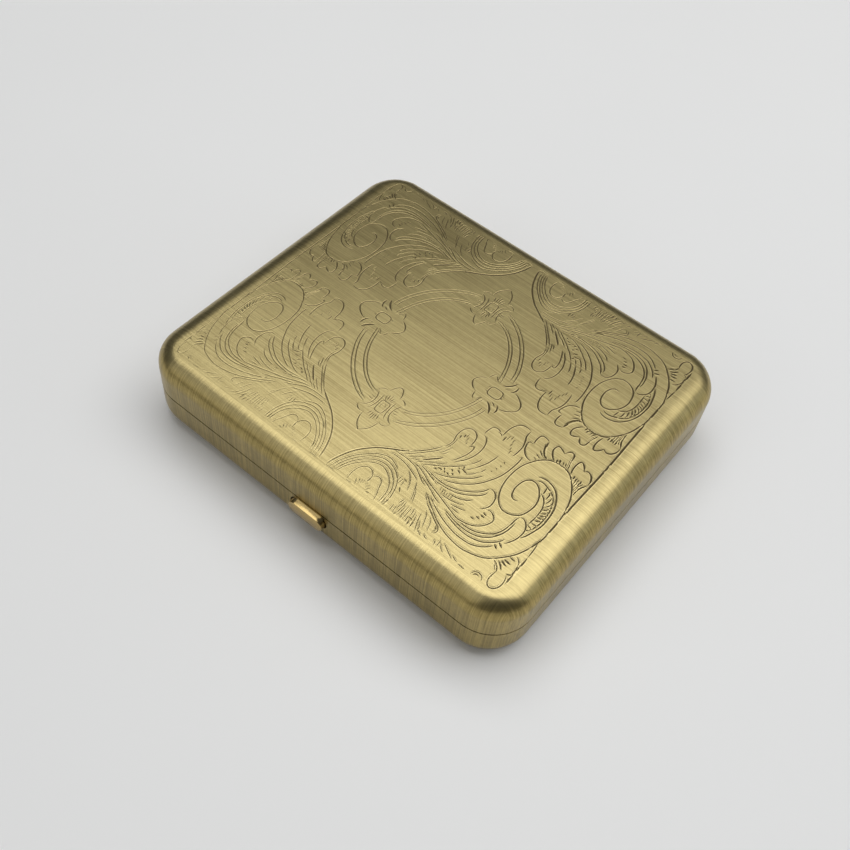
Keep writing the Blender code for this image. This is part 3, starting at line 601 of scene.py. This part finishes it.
DRAWING["scroll"] = [
    (LINE, 1486, 180, 1478, 320, 1440, 500, 1400, 620, 1355, 715, 1290, 810, 1200, 915, 1130, 975,
     1050, 1020, 900, 1065, 800, 1078, 650, 1065, 500, 1030, 350, 968, 245, 908, 150, 850, 90, 812,
     30, 770, -35, 735),
    (THIN, 1440, 505, 1472, 400, 1490, 270),
    (THIN, 1478, 395, 1490, 520, 1499, 645),
    (DEEP, 1500, 640, 1504, 800, 1507, 985, 1510, 1130),
    (LINE, 543, 148, 510, 220, 450, 300, 350, 380, 250, 440, 120, 478, 0, 490, -117, 481,
     -213, 462),
    (LINE, 558, 196, 540, 270, 480, 350, 400, 410, 280, 480, 150, 512, 0, 525, -67, 526,
     -132, 512),
    (LINE, 491, 424, 440, 482, 350, 532, 260, 553, 186, 556),
    (FINE, 98, 560, 154, 565),
    (LINE, 537, 150, 600, 147, 645, 175, 680, 230, 698, 310, 695, 375, 672, 425, 622, 490),
    (LINE, 692, 434, 750, 414, 800, 428, 845, 470, 862, 512, 850, 570, 820, 630, 770, 690,
     700, 738, 620, 763, 510, 777, 400, 750, 250, 705, 120, 665, 0, 631, -86, 603, -145, 578,
     -205, 551, -268, 527, -330, 505, -380, 495, -445, 489),
    (LINE, -246, 590, -180, 607, -117, 629, -55, 654, 8, 679, 70, 711, 133, 735, 212, 762),
    (BOLD, 702, 492, 752, 508),
    (BOLD, 698, 543, 752, 549),
    (BOLD, 668, 595, 718, 603),
    (BOLD, 620, 650, 672, 650),
    (THIN, 456, 565, 380, 600, 280, 625, 180, 632, 98, 627),
    (LINE, 524, 622, 420, 650, 296, 674),
    (LINE, 330, 702, 410, 704, 496, 712),
    (FINE, 70, 548, 85, 602),
    (FINE, 110, 556, 124, 610),
    (FINE, 146, 562, 158, 614),
    (FINE, 182, 566, 192, 618),
    (FINE, 218, 570, 226, 618),
    (FINE, 256, 566, 262, 614),
    (LINE, 1080, 230, 1060, 310, 1058, 400, 1045, 500, 1018, 585, 975, 655, 900, 720, 800, 773,
     700, 796, 555, 798),
    (LINE, 1087, 335, 1084, 440, 1070, 540, 1040, 620, 990, 705, 900, 785, 800, 825, 680, 840,
     500, 825, 296, 774),
    (LINE, 1137, 610, 1100, 690, 1040, 760, 940, 840, 830, 875, 720, 887, 560, 870, 325, 809),
    (LINE, 1085, 784, 1040, 842, 960, 910, 860, 955, 740, 968, 600, 960, 400, 910, 220, 838,
     46, 744),
    (LINE, 1088, 237, 1130, 224, 1180, 250, 1225, 310, 1245, 380, 1246, 460, 1230, 540, 1200, 610,
     1157, 688),
    (BOLD, 1110, 702, 1176, 744),
    (BOLD, 1085, 762, 1140, 799),
    (LINE, 1385, 722, 1420, 725, 1458, 760, 1483, 820, 1493, 900, 1492, 962),
    (LINE, 1494, 958, 1478, 980, 1441, 991),
    (LINE, 1441, 989, 1466, 1030, 1484, 1100, 1482, 1170, 1458, 1230, 1415, 1264, 1370, 1262,
     1330, 1220, 1315, 1160, 1320, 1090, 1334, 1050),
    (BOLD, 1334, 1060, 1310, 1010, 1270, 965, 1196, 923),
    (THIN, 1305, 1050, 1268, 992, 1218, 948),
    (BOLD, 1334, 779, 1410, 787),
    (BOLD, 1294, 844, 1414, 857),
    (BOLD, 1280, 876, 1384, 914),
    (BOLD, 1250, 896, 1310, 940, 1370, 999),
    (THIN, 1110, 1282, 1125, 1230, 1170, 1196, 1230, 1203, 1262, 1240, 1272, 1280),
    (THIN, 1150, 1262, 1178, 1236, 1212, 1240),
    (LINE, 18, 1012, 38, 1080, 52, 1148),
    (LINE, 46, 1162, 102, 1168),
    (LINE, 125, 1004, 165, 1130, 215, 1235, 242, 1282),
    (THIN, 178, 1095, 240, 1200, 274, 1270),
    (THIN, 240, 1218, 290, 1245, 336, 1277),
    (BOLD, 72, 1180, 90, 1225, 98, 1278),
    (BOLD, 118, 1150, 140, 1210, 150, 1276),
    (FINE, 96, 1060, 120, 1130, 168, 1230),
    (FINE, 60, 1030, 82, 1110, 96, 1180),
    (LINE, 336, 1208, 380, 1248, 434, 1257),
    (LINE, 46, 818, 100, 860, 150, 890, 245, 945, 330, 992, 400, 1030, 440, 1075, 434, 1128,
     400, 1150),
    (THIN, 380, 1050, 408, 1092, 392, 1130),
    (FINE, 250, 985, 300, 1050, 330, 1130, 350, 1180),
    (FINE, 150, 940, 200, 1010, 240, 1100, 280, 1180),
    (THIN, 540, 1135, 560, 1165, 562, 1205, 572, 1274),
    (THIN, 598, 1148, 680, 1190, 770, 1240, 826, 1277),
    (THIN, 576, 1176, 640, 1245, 695, 1276),
    (THIN, 925, 1272, 1015, 1276),
    (FINE, 790, 1210, 850, 1245, 905, 1262),
    (FINE, 480, 1190, 520, 1230, 530, 1275),
]
DRAWING["rose"] = [
    (LINE, -690, 0, -675, 55, -630, 135, -560, 205, -480, 245, -425, 262),
    (LINE, -428, 256, -415, 345, -390, 425, -350, 495, -295, 514),
    (LINE, -190, 0, -188, 60, -165, 120, -120, 145, 0, 152, 120, 145, 172, 115, 190, 55, 192, 0),
    (THIN, -262, 62, -204, 92),
    (THIN, 208, 66, 258, 34),
    (LINE, 755, 0, 740, 85, 670, 175, 560, 262, 455, 315, 345, 342),
    (BOLD, 254, 256, 320, 320, 352, 395, 356, 475, 338, 552),
    (BOLD, -30, 326, 60, 358, 150, 437, 210, 517, 262, 640),
    (LINE, 86, 260, 170, 297, 240, 352),
    (LINE, -186, 330, -200, 420, -218, 520),
    (LINE, -105, 328, -116, 420, -140, 520),
    (FINE, -300, 500, -240, 400, -175, 345, -110, 326),
]
DRAWING["lily"] = [
    (LINE, 0, -145, 70, -145, 108, -140, 118, -100, 116, 60, 108, 160, 80, 200, 0, 205),
    (FINE, 18, -70, 52, -15, 34, 62),
    (LINE, 0, -692, 60, -670, 105, -600, 138, -530, 160, -460, 174, -396),
    (THIN, 0, -450, 0, -330, 0, -170),
    (LINE, 78, -380, 54, -280, 36, -165),
    (LINE, 124, -300, 98, -230, 66, -160),
    (LINE, 186, -308, 176, -200, 172, -50, 182, 80, 212, 200, 260, 292),
    (LINE, 353, -318, 310, -215, 275, -120, 262, -30, 268, 70, 300, 155, 350, 220, 410, 262,
     478, 291),
    (LINE, 170, -398, 205, -432, 260, -436, 320, -405, 370, -360, 390, -330, 350, -312),
    (LINE, 476, 286, 455, 350, 400, 402, 325, 428, 265, 420, 222, 390),
    (LINE, 230, 388, 224, 490, 203, 595, 160, 695, 95, 782, 0, 868),
    (LINE, 0, 222, 0, 400, 0, 530),
    (LINE, 38, 230, 50, 340, 62, 468),
    (LINE, 88, 230, 110, 320, 142, 425),
    (LINE, 268, -60, 382, -81),
    (LINE, 276, 16, 438, -14),
]


def on_lid(sheet, points):
    """Points of a sheet on the lid's quarter, in millimetres right of and in front of the middle.

    A point is the sheet's corner plus its two numbers times the sheet's unit. All but the florets
    then move left by their distance to the front times a lean that is less to the right.
    """
    corner, unit = SHEETS[sheet]
    spot = points * unit + corner
    if sheet in FLORETS:
        return spot
    lean = LEAN - LEAN_LESS * spot[:, 0]
    return np.column_stack((spot[:, 0] - lean * spot[:, 1], spot[:, 1]))


def as_drawn(spots):
    """Mirrored points moved to where the hand-drawn original has them.

    Right and back are each stretched in straight pieces between the listed places.
    """
    return np.column_stack((
        np.interp(spots[:, 0], MIRRORED_X, DRAWN_X), np.interp(spots[:, 1], MIRRORED_Y, DRAWN_Y)))


def over_lid(spots, by_x, by_y):
    """A value at each point: the one that its X gives times the one that its Y gives."""
    return np.interp(spots[:, 0], PLACES_X, by_x) * np.interp(spots[:, 1], PLACES_Y, by_y)


def way_along(line):
    """How far along a line each of its points lies: the sum of the steps up to it."""
    return np.concatenate(([0], np.cumsum(np.linalg.norm(np.diff(line, axis=0), axis=1))))


def smooth_line(points, step):
    """A smooth line through the points, in even steps.

    Between two points it is a cubic whose slope at each is half the way between its neighbours.
    """
    before, after = 2 * points[0] - points[1], 2 * points[-1] - points[-2]
    held = np.vstack((before, points, after))
    spans = len(points) - 1
    t = np.linspace(0, spans, spans * SPAN_STEPS + 1)
    i = np.minimum(t.astype(int), spans - 1)
    f = (t - i)[:, None]
    a, b, c, d = held[i], held[i + 1], held[i + 2], held[i + 3]
    bend = 2 * a - 5 * b + 4 * c - d
    line = (2 * b + (c - a) * f + bend * f**2 + (3 * b - a - 3 * c + d) * f**3) / 2
    way = way_along(line)
    count = max(int(round(way[-1] / step)), 2)
    even = np.linspace(0, way[-1], count + 1)
    return np.column_stack([np.interp(even, way, line[:, k]) for k in range(line.shape[1])])


def groove(points, weight, width, depth):
    """One cut as its line, half its width to the left of each point, its depth and its taper.

    Half the width is the weight times half the line's width times the taper, and the depth goes
    the same way. The taper is the root of the way to an end over the reach, at most 1. The reach
    is three widths, or 40% of a short cut. An end on an axis of the drawing keeps a taper of 1,
    because its mirror image goes on there. Short hatches are cut longer and narrower.
    """
    length = np.linalg.norm(np.diff(points, axis=0), axis=1).sum()
    hatch = length < HATCH_LENGTH
    if hatch:
        middle = points.mean(axis=0)
        points = middle + (points - middle) * HATCH_STRETCH
    line = smooth_line(points, min(LONGEST_STEP * width, length / FEWEST_STEPS))
    way = way_along(line)
    run = np.gradient(line, axis=0)
    side = np.column_stack((-run[:, 1], run[:, 0])) / np.linalg.norm(run, axis=1)[:, None]
    taper = np.ones(len(line))
    reach = min(TAPER_WIDTHS * width, way[-1] / TAPER_PART)
    for end, from_end in ((0, way), (-1, way[-1] - way)):
        axis = np.argmin(np.abs(line[end]))
        if abs(line[end][axis]) < ON_AXIS and abs(run[end][axis]) > ON_AXIS:
            side[end] = np.sign(side[end]) * np.eye(2)[1 - axis]
            line[end][axis] = 0
        else:
            taper = np.minimum(taper, np.sqrt(np.clip(from_end / reach, 0, 1)))
    half = weight * width / 2 * taper * (HATCH_WIDTH if hatch else 1)
    return line, side * half[:, None], depth * weight * taper, taper


def cut_drawing(outline, width, depth, lip):
    """The flat of the lid, cut along every line of the drawing, as (points, depths, triangles).

    The drawing's quarter is mirrored to the other three, and the flat is triangulated with five
    fixed lines along each cut: the feet of both lips, their crests and the bottom. The flat lies
    one lip's height under the highest crests. All lengths are in millimetres.
    """
    ring = np.arange(len(outline))
    spots, deep = [outline], [np.full(len(outline), lip)]
    edges = [np.column_stack((ring, np.roll(ring, -1)))]
    total = len(outline)
    for sheet, strokes in DRAWING.items():
        for weight, *numbers in strokes:
            points = on_lid(sheet, np.reshape(numbers, (-1, 2)))
            line, half, cut, taper = groove(points, weight, width, depth)
            count = len(line)
            starts = np.arange(len(ACROSS))[:, None] * count + np.arange(count - 1)
            foot = np.full(count, lip)
            for quarter in QUARTERS:
                spot = line * quarter
                wide = half * quarter * np.interp(spot[:, 0], PLACES_X, WIDENED_X)[:, None]
                bottom = lip + cut * over_lid(spot, PRESSED_X, PRESSED_Y)
                crest = lip * (1 - taper * over_lid(spot, LIFTED_X, LIFTED_Y))
                spots.append(as_drawn(np.vstack([spot + wide * k for k in ACROSS])))
                deep.append(np.concatenate((foot, crest, bottom, crest, foot)))
                edges.append(np.column_stack((starts.ravel(), starts.ravel() + 1)) + total)
                total += len(ACROSS) * count
    spots, deep, edges = np.vstack(spots), np.concatenate(deep), np.vstack(edges)
    flat, lines, faces, from_points, from_edges, _ = delaunay_2d_cdt(
        [Vector(spot) for spot in spots], edges.tolist(), [], 0, CLOSEST, True)
    depths = met_depths(len(flat), lines, from_points, from_edges, deep, edges, lip)
    return np.array([tuple(point) for point in flat]), depths, np.array(faces)


def met_depths(count, lines, from_points, from_edges, deep, edges, lip):
    """The depth of each triangulated point: the deepest cut there, or else the highest crest.

    A point takes the depths of the points that it stands for. Where two lines cross and it stands
    for none, it takes the middle depths of the edges that meet there.
    """
    deepest, highest = np.full(count, lip), np.full(count, lip)
    point, source = members(from_points)
    levels = [(point, deep[source])]
    crossing = np.bincount(point, minlength=count) == 0
    line, source = members(from_edges)
    middle = (deep[edges[:, 0]] + deep[edges[:, 1]]) / 2
    for point in np.array(lines)[line].T:
        new = crossing[point]
        levels.append((point[new], middle[source[new]]))
    for point, level in levels:
        np.maximum.at(deepest, point, level)
        np.minimum.at(highest, point, level)
    return np.where(deepest > lip + LEAST_CUT, deepest, highest)


def members(groups):
    """Lists of ids as two arrays: the number of the list that an id is in, and the id."""
    owner = np.repeat(np.arange(len(groups)), [len(group) for group in groups])
    return owner, np.fromiter(chain.from_iterable(groups), int)


# --- shells


# The gap round moving pieces, the hinge barrel's radius, how much the shells are thinned beside
# it, and how far a shell's rim stays from the middle.
GAP, BARREL, THINNED, RIM = 0.3 * MM, 1.4 * MM, 0.4 * MM, 0.15 * MM
CORNER_STEPS, ROLL_STEPS = 16, 24
# No column of a ring is nearer to the notch's end than this many degrees.
BESIDE_NOTCH = 0.6
# Edges past this many degrees stay sharp, and a face whose normal rises more than this is level.
SHELL_SHARP, LIP_SHARP, PIECE_SHARP, LEVEL = 34, 20, 36, 0.99999
FINE_EDGE, EDGE = 0.06 * MM, 0.08 * MM
# The button's flange past its shank, and how far its hole's cutter reaches before and behind the
# case's front.
BUTTON_FLANGE, BEFORE_FRONT, BEHIND_FRONT = 0.7 * MM, 2 * MM, 3 * MM
HOLE_STEPS = 20


def ring_columns(notch_turn):
    """Where a stamping's columns stand, as (corner's X sign, corner's Y sign, angle in degrees).

    Each corner has its quarter turn in even steps. The two at the back also have the end of the
    hinge's notch, twice, and no other column close to it.
    """
    columns = []
    for sign_x, sign_y, start in ((1, 1, 0), (-1, 1, 90), (-1, -1, 180), (1, -1, 270)):
        angles = list(np.linspace(start, start + 90, CORNER_STEPS + 1))
        if sign_y > 0:
            notch = 90 - sign_x * notch_turn
            angles = [a for a in angles if abs(a - notch) > BESIDE_NOTCH] + [notch, notch]
            angles.sort()
        columns += [(sign_x, sign_y, a) for a in angles]
    return np.array(columns)


def ring(columns, half_x, half_y, radius):
    """A rectangle with round corners: each corner's centre plus the radius along each angle."""
    turn = np.radians(columns[:, 2])
    centre = columns[:, :2] * (half_x - radius, half_y - radius)
    return centre + radius * np.column_stack((np.cos(turn), np.sin(turn)))


def stamping(side, lower=0.0):
    """One stamped half as (points, faces, top ring), open where the hinge lies.

    Its rings are rounded rectangles. Up the roll they draw in by the roll times one less the
    cosine, and rise by the drop times the sine. The inner skin does the same one wall further in.
    The side is 1 for the lid and -1 for the base, and the flat lies this much lower than the drop.
    """
    size = sizes()
    radius, wall = size.corner_radius, size.wall
    notch_half, notch_height = hinge_end + GAP, BARREL + GAP
    notch_turn = math.degrees(math.asin((notch_half - (half_length - radius)) / radius))
    columns = ring_columns(notch_turn)
    count = len(columns)
    outer = ring(columns, half_length, half_width, radius)
    within = ring(columns, half_length - wall, half_width - wall, radius - wall)
    thinned = outer.copy()
    thinned[:, 1] = np.minimum(outer[:, 1], half_width - THINNED)
    notch = np.flatnonzero((columns[:, 1] > 0) & (np.abs(outer[:, 0]) <= notch_half + 1e-6))
    low = np.full(count, RIM)
    low[notch[1:-1]] = notch_height
    rise = size.roll_drop - lower
    height = middle_z - size.roll_drop

    def at(points, heights):
        return np.column_stack((points, np.broadcast_to(heights, count)))

    def roll(skin):
        for turn in np.linspace(0, math.pi / 2, ROLL_STEPS + 1):
            inward = 1 - math.cos(turn)
            yield at(
                ring(columns,
                     half_length - skin - (size.roll_end - skin) * inward,
                     half_width - skin - (size.roll_side - skin) * inward,
                     radius - skin - (radius - skin - size.flat_corner_radius) * inward),
                height + (rise - skin) * math.sin(turn))

    points = np.vstack([
        *list(roll(wall))[::-1], at(within, notch_height), at(within, low),
        at(thinned, low), at(thinned, notch_height), at(outer, notch_height), *roll(0.0)])
    row = np.arange(count)
    beside = np.roll(row, -1)
    quads = np.vstack([
        np.column_stack((k + row, k + beside, k + count + beside, k + count + row))
        for k in range(0, len(points) - count, count)])
    faces = quads[:, ::side].tolist()
    faces.append(row[::-side].tolist())
    points[:, 2] = middle_z + side * points[:, 2]
    points[:, 1] += case_y
    return points, faces, np.arange(len(points) - count, len(points))


def linked(name, mesh):
    """An object of this mesh, at the origin of the scene."""
    thing = bpy.data.objects.new(name, mesh)
    bpy.context.scene.collection.objects.link(thing)
    return thing


def piece(name, points, faces, material, cuts, sharp=SHELL_SHARP):
    """A finished piece from points and faces, merged where they meet, with sharp edges kept.

    The cuts are numbers at the points: the depth of a cut in middle lines, a lip's height below 0.
    """
    mesh = bpy.data.meshes.new(name)
    mesh.from_pydata(points.tolist(), [], faces)
    attribute = mesh.attributes.new("engraving", "FLOAT", "POINT")
    attribute.data.foreach_set("value", cuts.astype(np.float32))
    bm = bmesh.new()
    bm.from_mesh(mesh)
    bmesh.ops.remove_doubles(bm, verts=bm.verts, dist=2e-7)
    bmesh.ops.dissolve_degenerate(bm, edges=bm.edges, dist=1e-7)
    bm.to_mesh(mesh)
    bm.free()
    shade(mesh, sharp)
    mesh.materials.append(material)
    return linked(name, mesh)


def shade(mesh, sharp):
    """Keep edges past this angle sharp, and shade the level faces flat and the others smooth.

    Level faces stay flat so that the smooth cuts beside them keep their edges.
    """
    mesh.set_sharp_from_angle(angle=math.radians(sharp))
    up = np.empty(3 * len(mesh.polygons))
    mesh.polygons.foreach_get("normal", up)
    mesh.polygons.foreach_set("use_smooth", np.abs(up[2::3]) < LEVEL)


def settle(thing, body, slot, *nodes):
    """Let a piece ride on its body and hide the nodes it stands for. Its slot is not used."""
    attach(thing, body)
    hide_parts(*nodes)
    return thing


def finished(node, metal_name, slot, edge=0.0):
    """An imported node's solid, points merged, round faces smooth, edges broken if edge is set."""
    packed = frame["nodes"][node]
    mesh = packed.data.copy()
    mesh.name = node + "_finished"
    bm = bmesh.new()
    bm.from_mesh(mesh)
    bmesh.ops.remove_doubles(bm, verts=bm.verts, dist=1e-6)
    bmesh.ops.dissolve_limit(bm, angle_limit=math.radians(0.5), verts=bm.verts, edges=bm.edges)
    bm.to_mesh(mesh)
    bm.free()
    mesh.materials.clear()
    mesh.materials.append(metal(metal_name))
    mesh.shade_smooth()
    mesh.set_sharp_from_angle(angle=math.radians(PIECE_SHARP))
    thing = linked(node + "_finished", mesh)
    if edge:
        bevel = thing.modifiers.new("broken edges", "BEVEL")
        bevel.width = edge
        bevel.segments = 2
        bevel.limit_method = "ANGLE"
        bevel.angle_limit = math.radians(PIECE_SHARP)
    return settle(thing, packed["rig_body"], slot, node)


class CASE_OT_engraved_lid(bpy.types.Operator):
    """Stamp the lid and engrave its flat top."""

    bl_idname = "case.engraved_lid"
    bl_label = "Engraved lid"

    def execute(self, context):
        size = sizes()
        points, faces, top = stamping(1, size.lip)
        outline = (points[top, :2] - (0, case_y)) / MM
        keep = np.linalg.norm(outline - np.roll(outline, 1, axis=0), axis=1) > 1e-5
        lip = size.lip / MM
        flat, depths, triangles = cut_drawing(
            outline[keep], size.line_width / MM, size.line_depth / MM, lip)
        cuts = np.where(
            depths > lip, (depths - lip) * MM / size.line_depth, (depths - lip) / lip)
        flat_points = np.column_stack((flat * MM + (0, case_y), case_top - depths * MM))
        lid = piece(
            "engraved_lid", np.vstack((points, flat_points)),
            faces + (triangles + len(points)).tolist(), metal("aged"),
            np.concatenate((np.zeros(len(points)), cuts)), LIP_SHARP)
        settle(lid, "lid", "antique_brass", "lid_shell")
        return {"FINISHED"}


class CASE_OT_base(bpy.types.Operator):
    """Stamp the base, with the hole for its push button."""

    bl_idname = "case.base"
    bl_label = "Base"

    def execute(self, context):
        points, faces, top = stamping(-1)
        faces.append(top[::-1].tolist())
        base = piece("stamped_base", points, faces, metal("aged"), np.zeros(len(points)))
        cut_hole(base)
        settle(base, "base", "antique_brass", "base_shell")
        return {"FINISHED"}


def cut_hole(base):
    """Cut the long round hole that the button slides in, one gap larger all round than its shank.

    The cutter is a half circle at each end of the hole, carried through the front wall.
    """
    low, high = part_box("push_button")
    half_x = high.x - BUTTON_FLANGE + GAP
    half_z = (high.z - low.z) / 2 - BUTTON_FLANGE + GAP
    centre_z = (high.z + low.z) / 2
    turn = np.linspace(-math.pi / 2, math.pi / 2, HOLE_STEPS + 1)
    right = np.column_stack((half_x - half_z + half_z * np.cos(turn), half_z * np.sin(turn)))
    loop = np.vstack((right, -right))
    count = len(loop)
    front = case_y - half_width
    rows = [np.column_stack((loop[:, 0], np.full(count, y), loop[:, 1] + centre_z))
            for y in (front - BEFORE_FRONT, front + BEHIND_FRONT)]
    row = np.arange(count)
    beside = np.roll(row, -1)
    sides = np.column_stack((row, row + count, beside + count, beside))
    faces = sides.tolist() + [row.tolist(), (row + count)[::-1].tolist()]
    mesh = bpy.data.meshes.new("button_hole")
    mesh.from_pydata(np.vstack(rows).tolist(), [], faces)
    bm = bmesh.new()
    bm.from_mesh(mesh)
    bmesh.ops.recalc_face_normals(bm, faces=bm.faces)
    bm.to_mesh(mesh)
    bm.free()
    cutter = linked("button_hole", mesh)
    modifier = base.modifiers.new("hole", "BOOLEAN")
    modifier.operation = "DIFFERENCE"
    modifier.solver = "EXACT"
    modifier.object = cutter
    graph = bpy.context.evaluated_depsgraph_get()
    cut = bpy.data.meshes.new_from_object(base.evaluated_get(graph))
    base.modifiers.clear()
    base.data = cut
    bpy.data.objects.remove(cutter)
    shade(cut, SHELL_SHARP)


class CASE_OT_hinge(bpy.types.Operator):
    """Finish the two hinge leaves with their rolled knuckles, and the pin."""

    bl_idname = "case.hinge"
    bl_label = "Hinge"

    def execute(self, context):
        finished("base_hinge_leaf", "inner", "inner_brass", FINE_EDGE)
        finished("lid_hinge_leaf", "inner", "inner_brass", FINE_EDGE)
        finished("hinge_pin", "steel", "steel")
        return {"FINISHED"}


class CASE_OT_rim_strips(bpy.types.Operator):
    """Finish the thin bands that the lid closes over."""

    bl_idname = "case.rim_strips"
    bl_label = "Rim strips"

    def execute(self, context):
        for side in ("left", "right"):
            finished(f"base_rim_strip_{side}", "inner", "inner_brass", EDGE)
        return {"FINISHED"}


class CASE_OT_retainers(bpy.types.Operator):
    """Finish the sprung bars, their rods, lugs and springs."""

    bl_idname = "case.retainers"
    bl_label = "Retainers"

    def execute(self, context):
        for half in ("base", "lid"):
            finished(f"{half}_retainer_bar", "polished", "polished_brass", EDGE)
            finished(f"{half}_retainer_rod", "steel", "steel")
            for side in ("left", "right"):
                finished(f"{half}_rod_lug_{side}", "inner", "inner_brass", EDGE)
                finished(f"{half}_retainer_spring_{side}", "spring", "spring_steel")
        return {"FINISHED"}


class CASE_OT_catch(bpy.types.Operator):
    """Finish the push button and its catch."""

    bl_idname = "case.catch"
    bl_label = "Catch"

    def execute(self, context):
        finished("push_button", "polished", "polished_brass")
        finished("catch_plate", "steel", "steel", EDGE)
        finished("catch_guide_pin", "steel", "steel", EDGE)
        spring = finished("catch_spring", "spring", "spring_steel")
        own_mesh(spring)
        finished("catch_bracket", "inner", "inner_brass", EDGE)
        finished("keeper_plate", "inner", "inner_brass", EDGE)
        return {"FINISHED"}


# --- the studio


CAMERA_AT = (0.07618, -0.11794, 0.18597)
CAMERA_TURN = (36.142, -4.360, 39.373)
CAMERA_LENS = 44.41
TABLE_REACH = 3.0
SKY, SKY_STRENGTH = (0.93, 0.96, 1.0, 1), 0.09
COOL = (0.84, 0.91, 1.0)


def lamp(name, at, target, size, power, turn=0.0, colour=(1, 1, 1)):
    """A soft square light that looks at a place, turned about its own line of sight."""
    light = bpy.data.lights.new(name, "AREA")
    light.shape = "RECTANGLE"
    light.size, light.size_y = size
    light.energy = power
    light.color = colour
    thing = linked(name, light)
    thing.location = at
    aim = (Vector(at) - Vector(target)).to_track_quat("Z", "Y").to_matrix()
    thing.rotation_euler = (aim @ Matrix.Rotation(math.radians(turn), 3, "Z")).to_euler()


class CASE_OT_studio(bpy.types.Operator):
    """Lay the pale table, hang the soft lights and set the camera."""

    bl_idname = "case.studio"
    bl_label = "Studio"

    def execute(self, context):
        scene = context.scene
        corners = TABLE_REACH * np.array([(-1, -1, 0), (1, -1, 0), (1, 1, 0), (-1, 1, 0)])
        mesh = bpy.data.meshes.new("table")
        mesh.from_pydata(corners.tolist(), [], [(0, 1, 2, 3)])
        mesh.materials.append(pale_table())
        table = linked("table", mesh)
        world = bpy.data.worlds.new("studio")
        world.use_nodes = True
        background = world.node_tree.nodes["Background"]
        background.inputs["Color"].default_value = SKY
        background.inputs["Strength"].default_value = SKY_STRENGTH
        scene.world = world
        lamp("overhead", (0.13, 0.35, 0.90), (0.13, 0.35, 0), (1.6, 0.80), 9.2, 25.0)
        lamp("front", (-0.36, -0.86, 0.72), (0, 0, 0), (1.0, 1.3), 2.8)
        lamp("side", (1.1, 0.75, 0.45), (0, 0, 0), (0.8, 0.8), 1.5, colour=COOL)
        lens = bpy.data.cameras.new("camera")
        lens.sensor_width = 36
        lens.sensor_fit = "HORIZONTAL"
        lens.lens = CAMERA_LENS
        lens.clip_start = 0.001
        lens.clip_end = 50
        camera = linked("camera", lens)
        camera.location = CAMERA_AT
        camera.rotation_euler = [math.radians(a) for a in CAMERA_TURN]
        scene.camera = camera
        scene.view_settings.view_transform = "Standard"
        return {"FINISHED"}


class CASE_PT_panel(bpy.types.Panel):
    """The case's sizes, colours and steps."""

    bl_label = "Cigarette case"
    bl_idname = "CASE_PT_panel"
    bl_space_type = "VIEW_3D"
    bl_region_type = "UI"
    bl_category = "Case"

    def draw(self, context):
        for group in (context.scene.case_sizes, context.scene.case_colours):
            for name in group.__annotations__:
                self.layout.prop(group, name)
        for step in STEPS:
            self.layout.operator(step.bl_idname)


STEPS = (
    CASE_OT_engraved_lid, CASE_OT_base, CASE_OT_hinge, CASE_OT_rim_strips,
    CASE_OT_retainers, CASE_OT_catch, CASE_OT_studio,
)
KINDS = (CaseSizes, CaseColours, *STEPS, CASE_PT_panel)


def register():
    """Register every class and put the sizes and colours in the scene."""
    for kind in KINDS:
        bpy.utils.register_class(kind)
    bpy.types.Scene.case_sizes = bpy.props.PointerProperty(type=CaseSizes)
    bpy.types.Scene.case_colours = bpy.props.PointerProperty(type=CaseColours)


def unregister():
    """Undo what register does."""
    del bpy.types.Scene.case_colours
    del bpy.types.Scene.case_sizes
    for kind in reversed(KINDS):
        bpy.utils.unregister_class(kind)


def main():
    """Make every piece and the studio."""
    register()
    bpy.ops.case.engraved_lid()
    bpy.ops.case.base()
    bpy.ops.case.hinge()
    bpy.ops.case.rim_strips()
    bpy.ops.case.retainers()
    bpy.ops.case.catch()
    bpy.ops.case.studio()


if __name__ == "__main__":
    main()
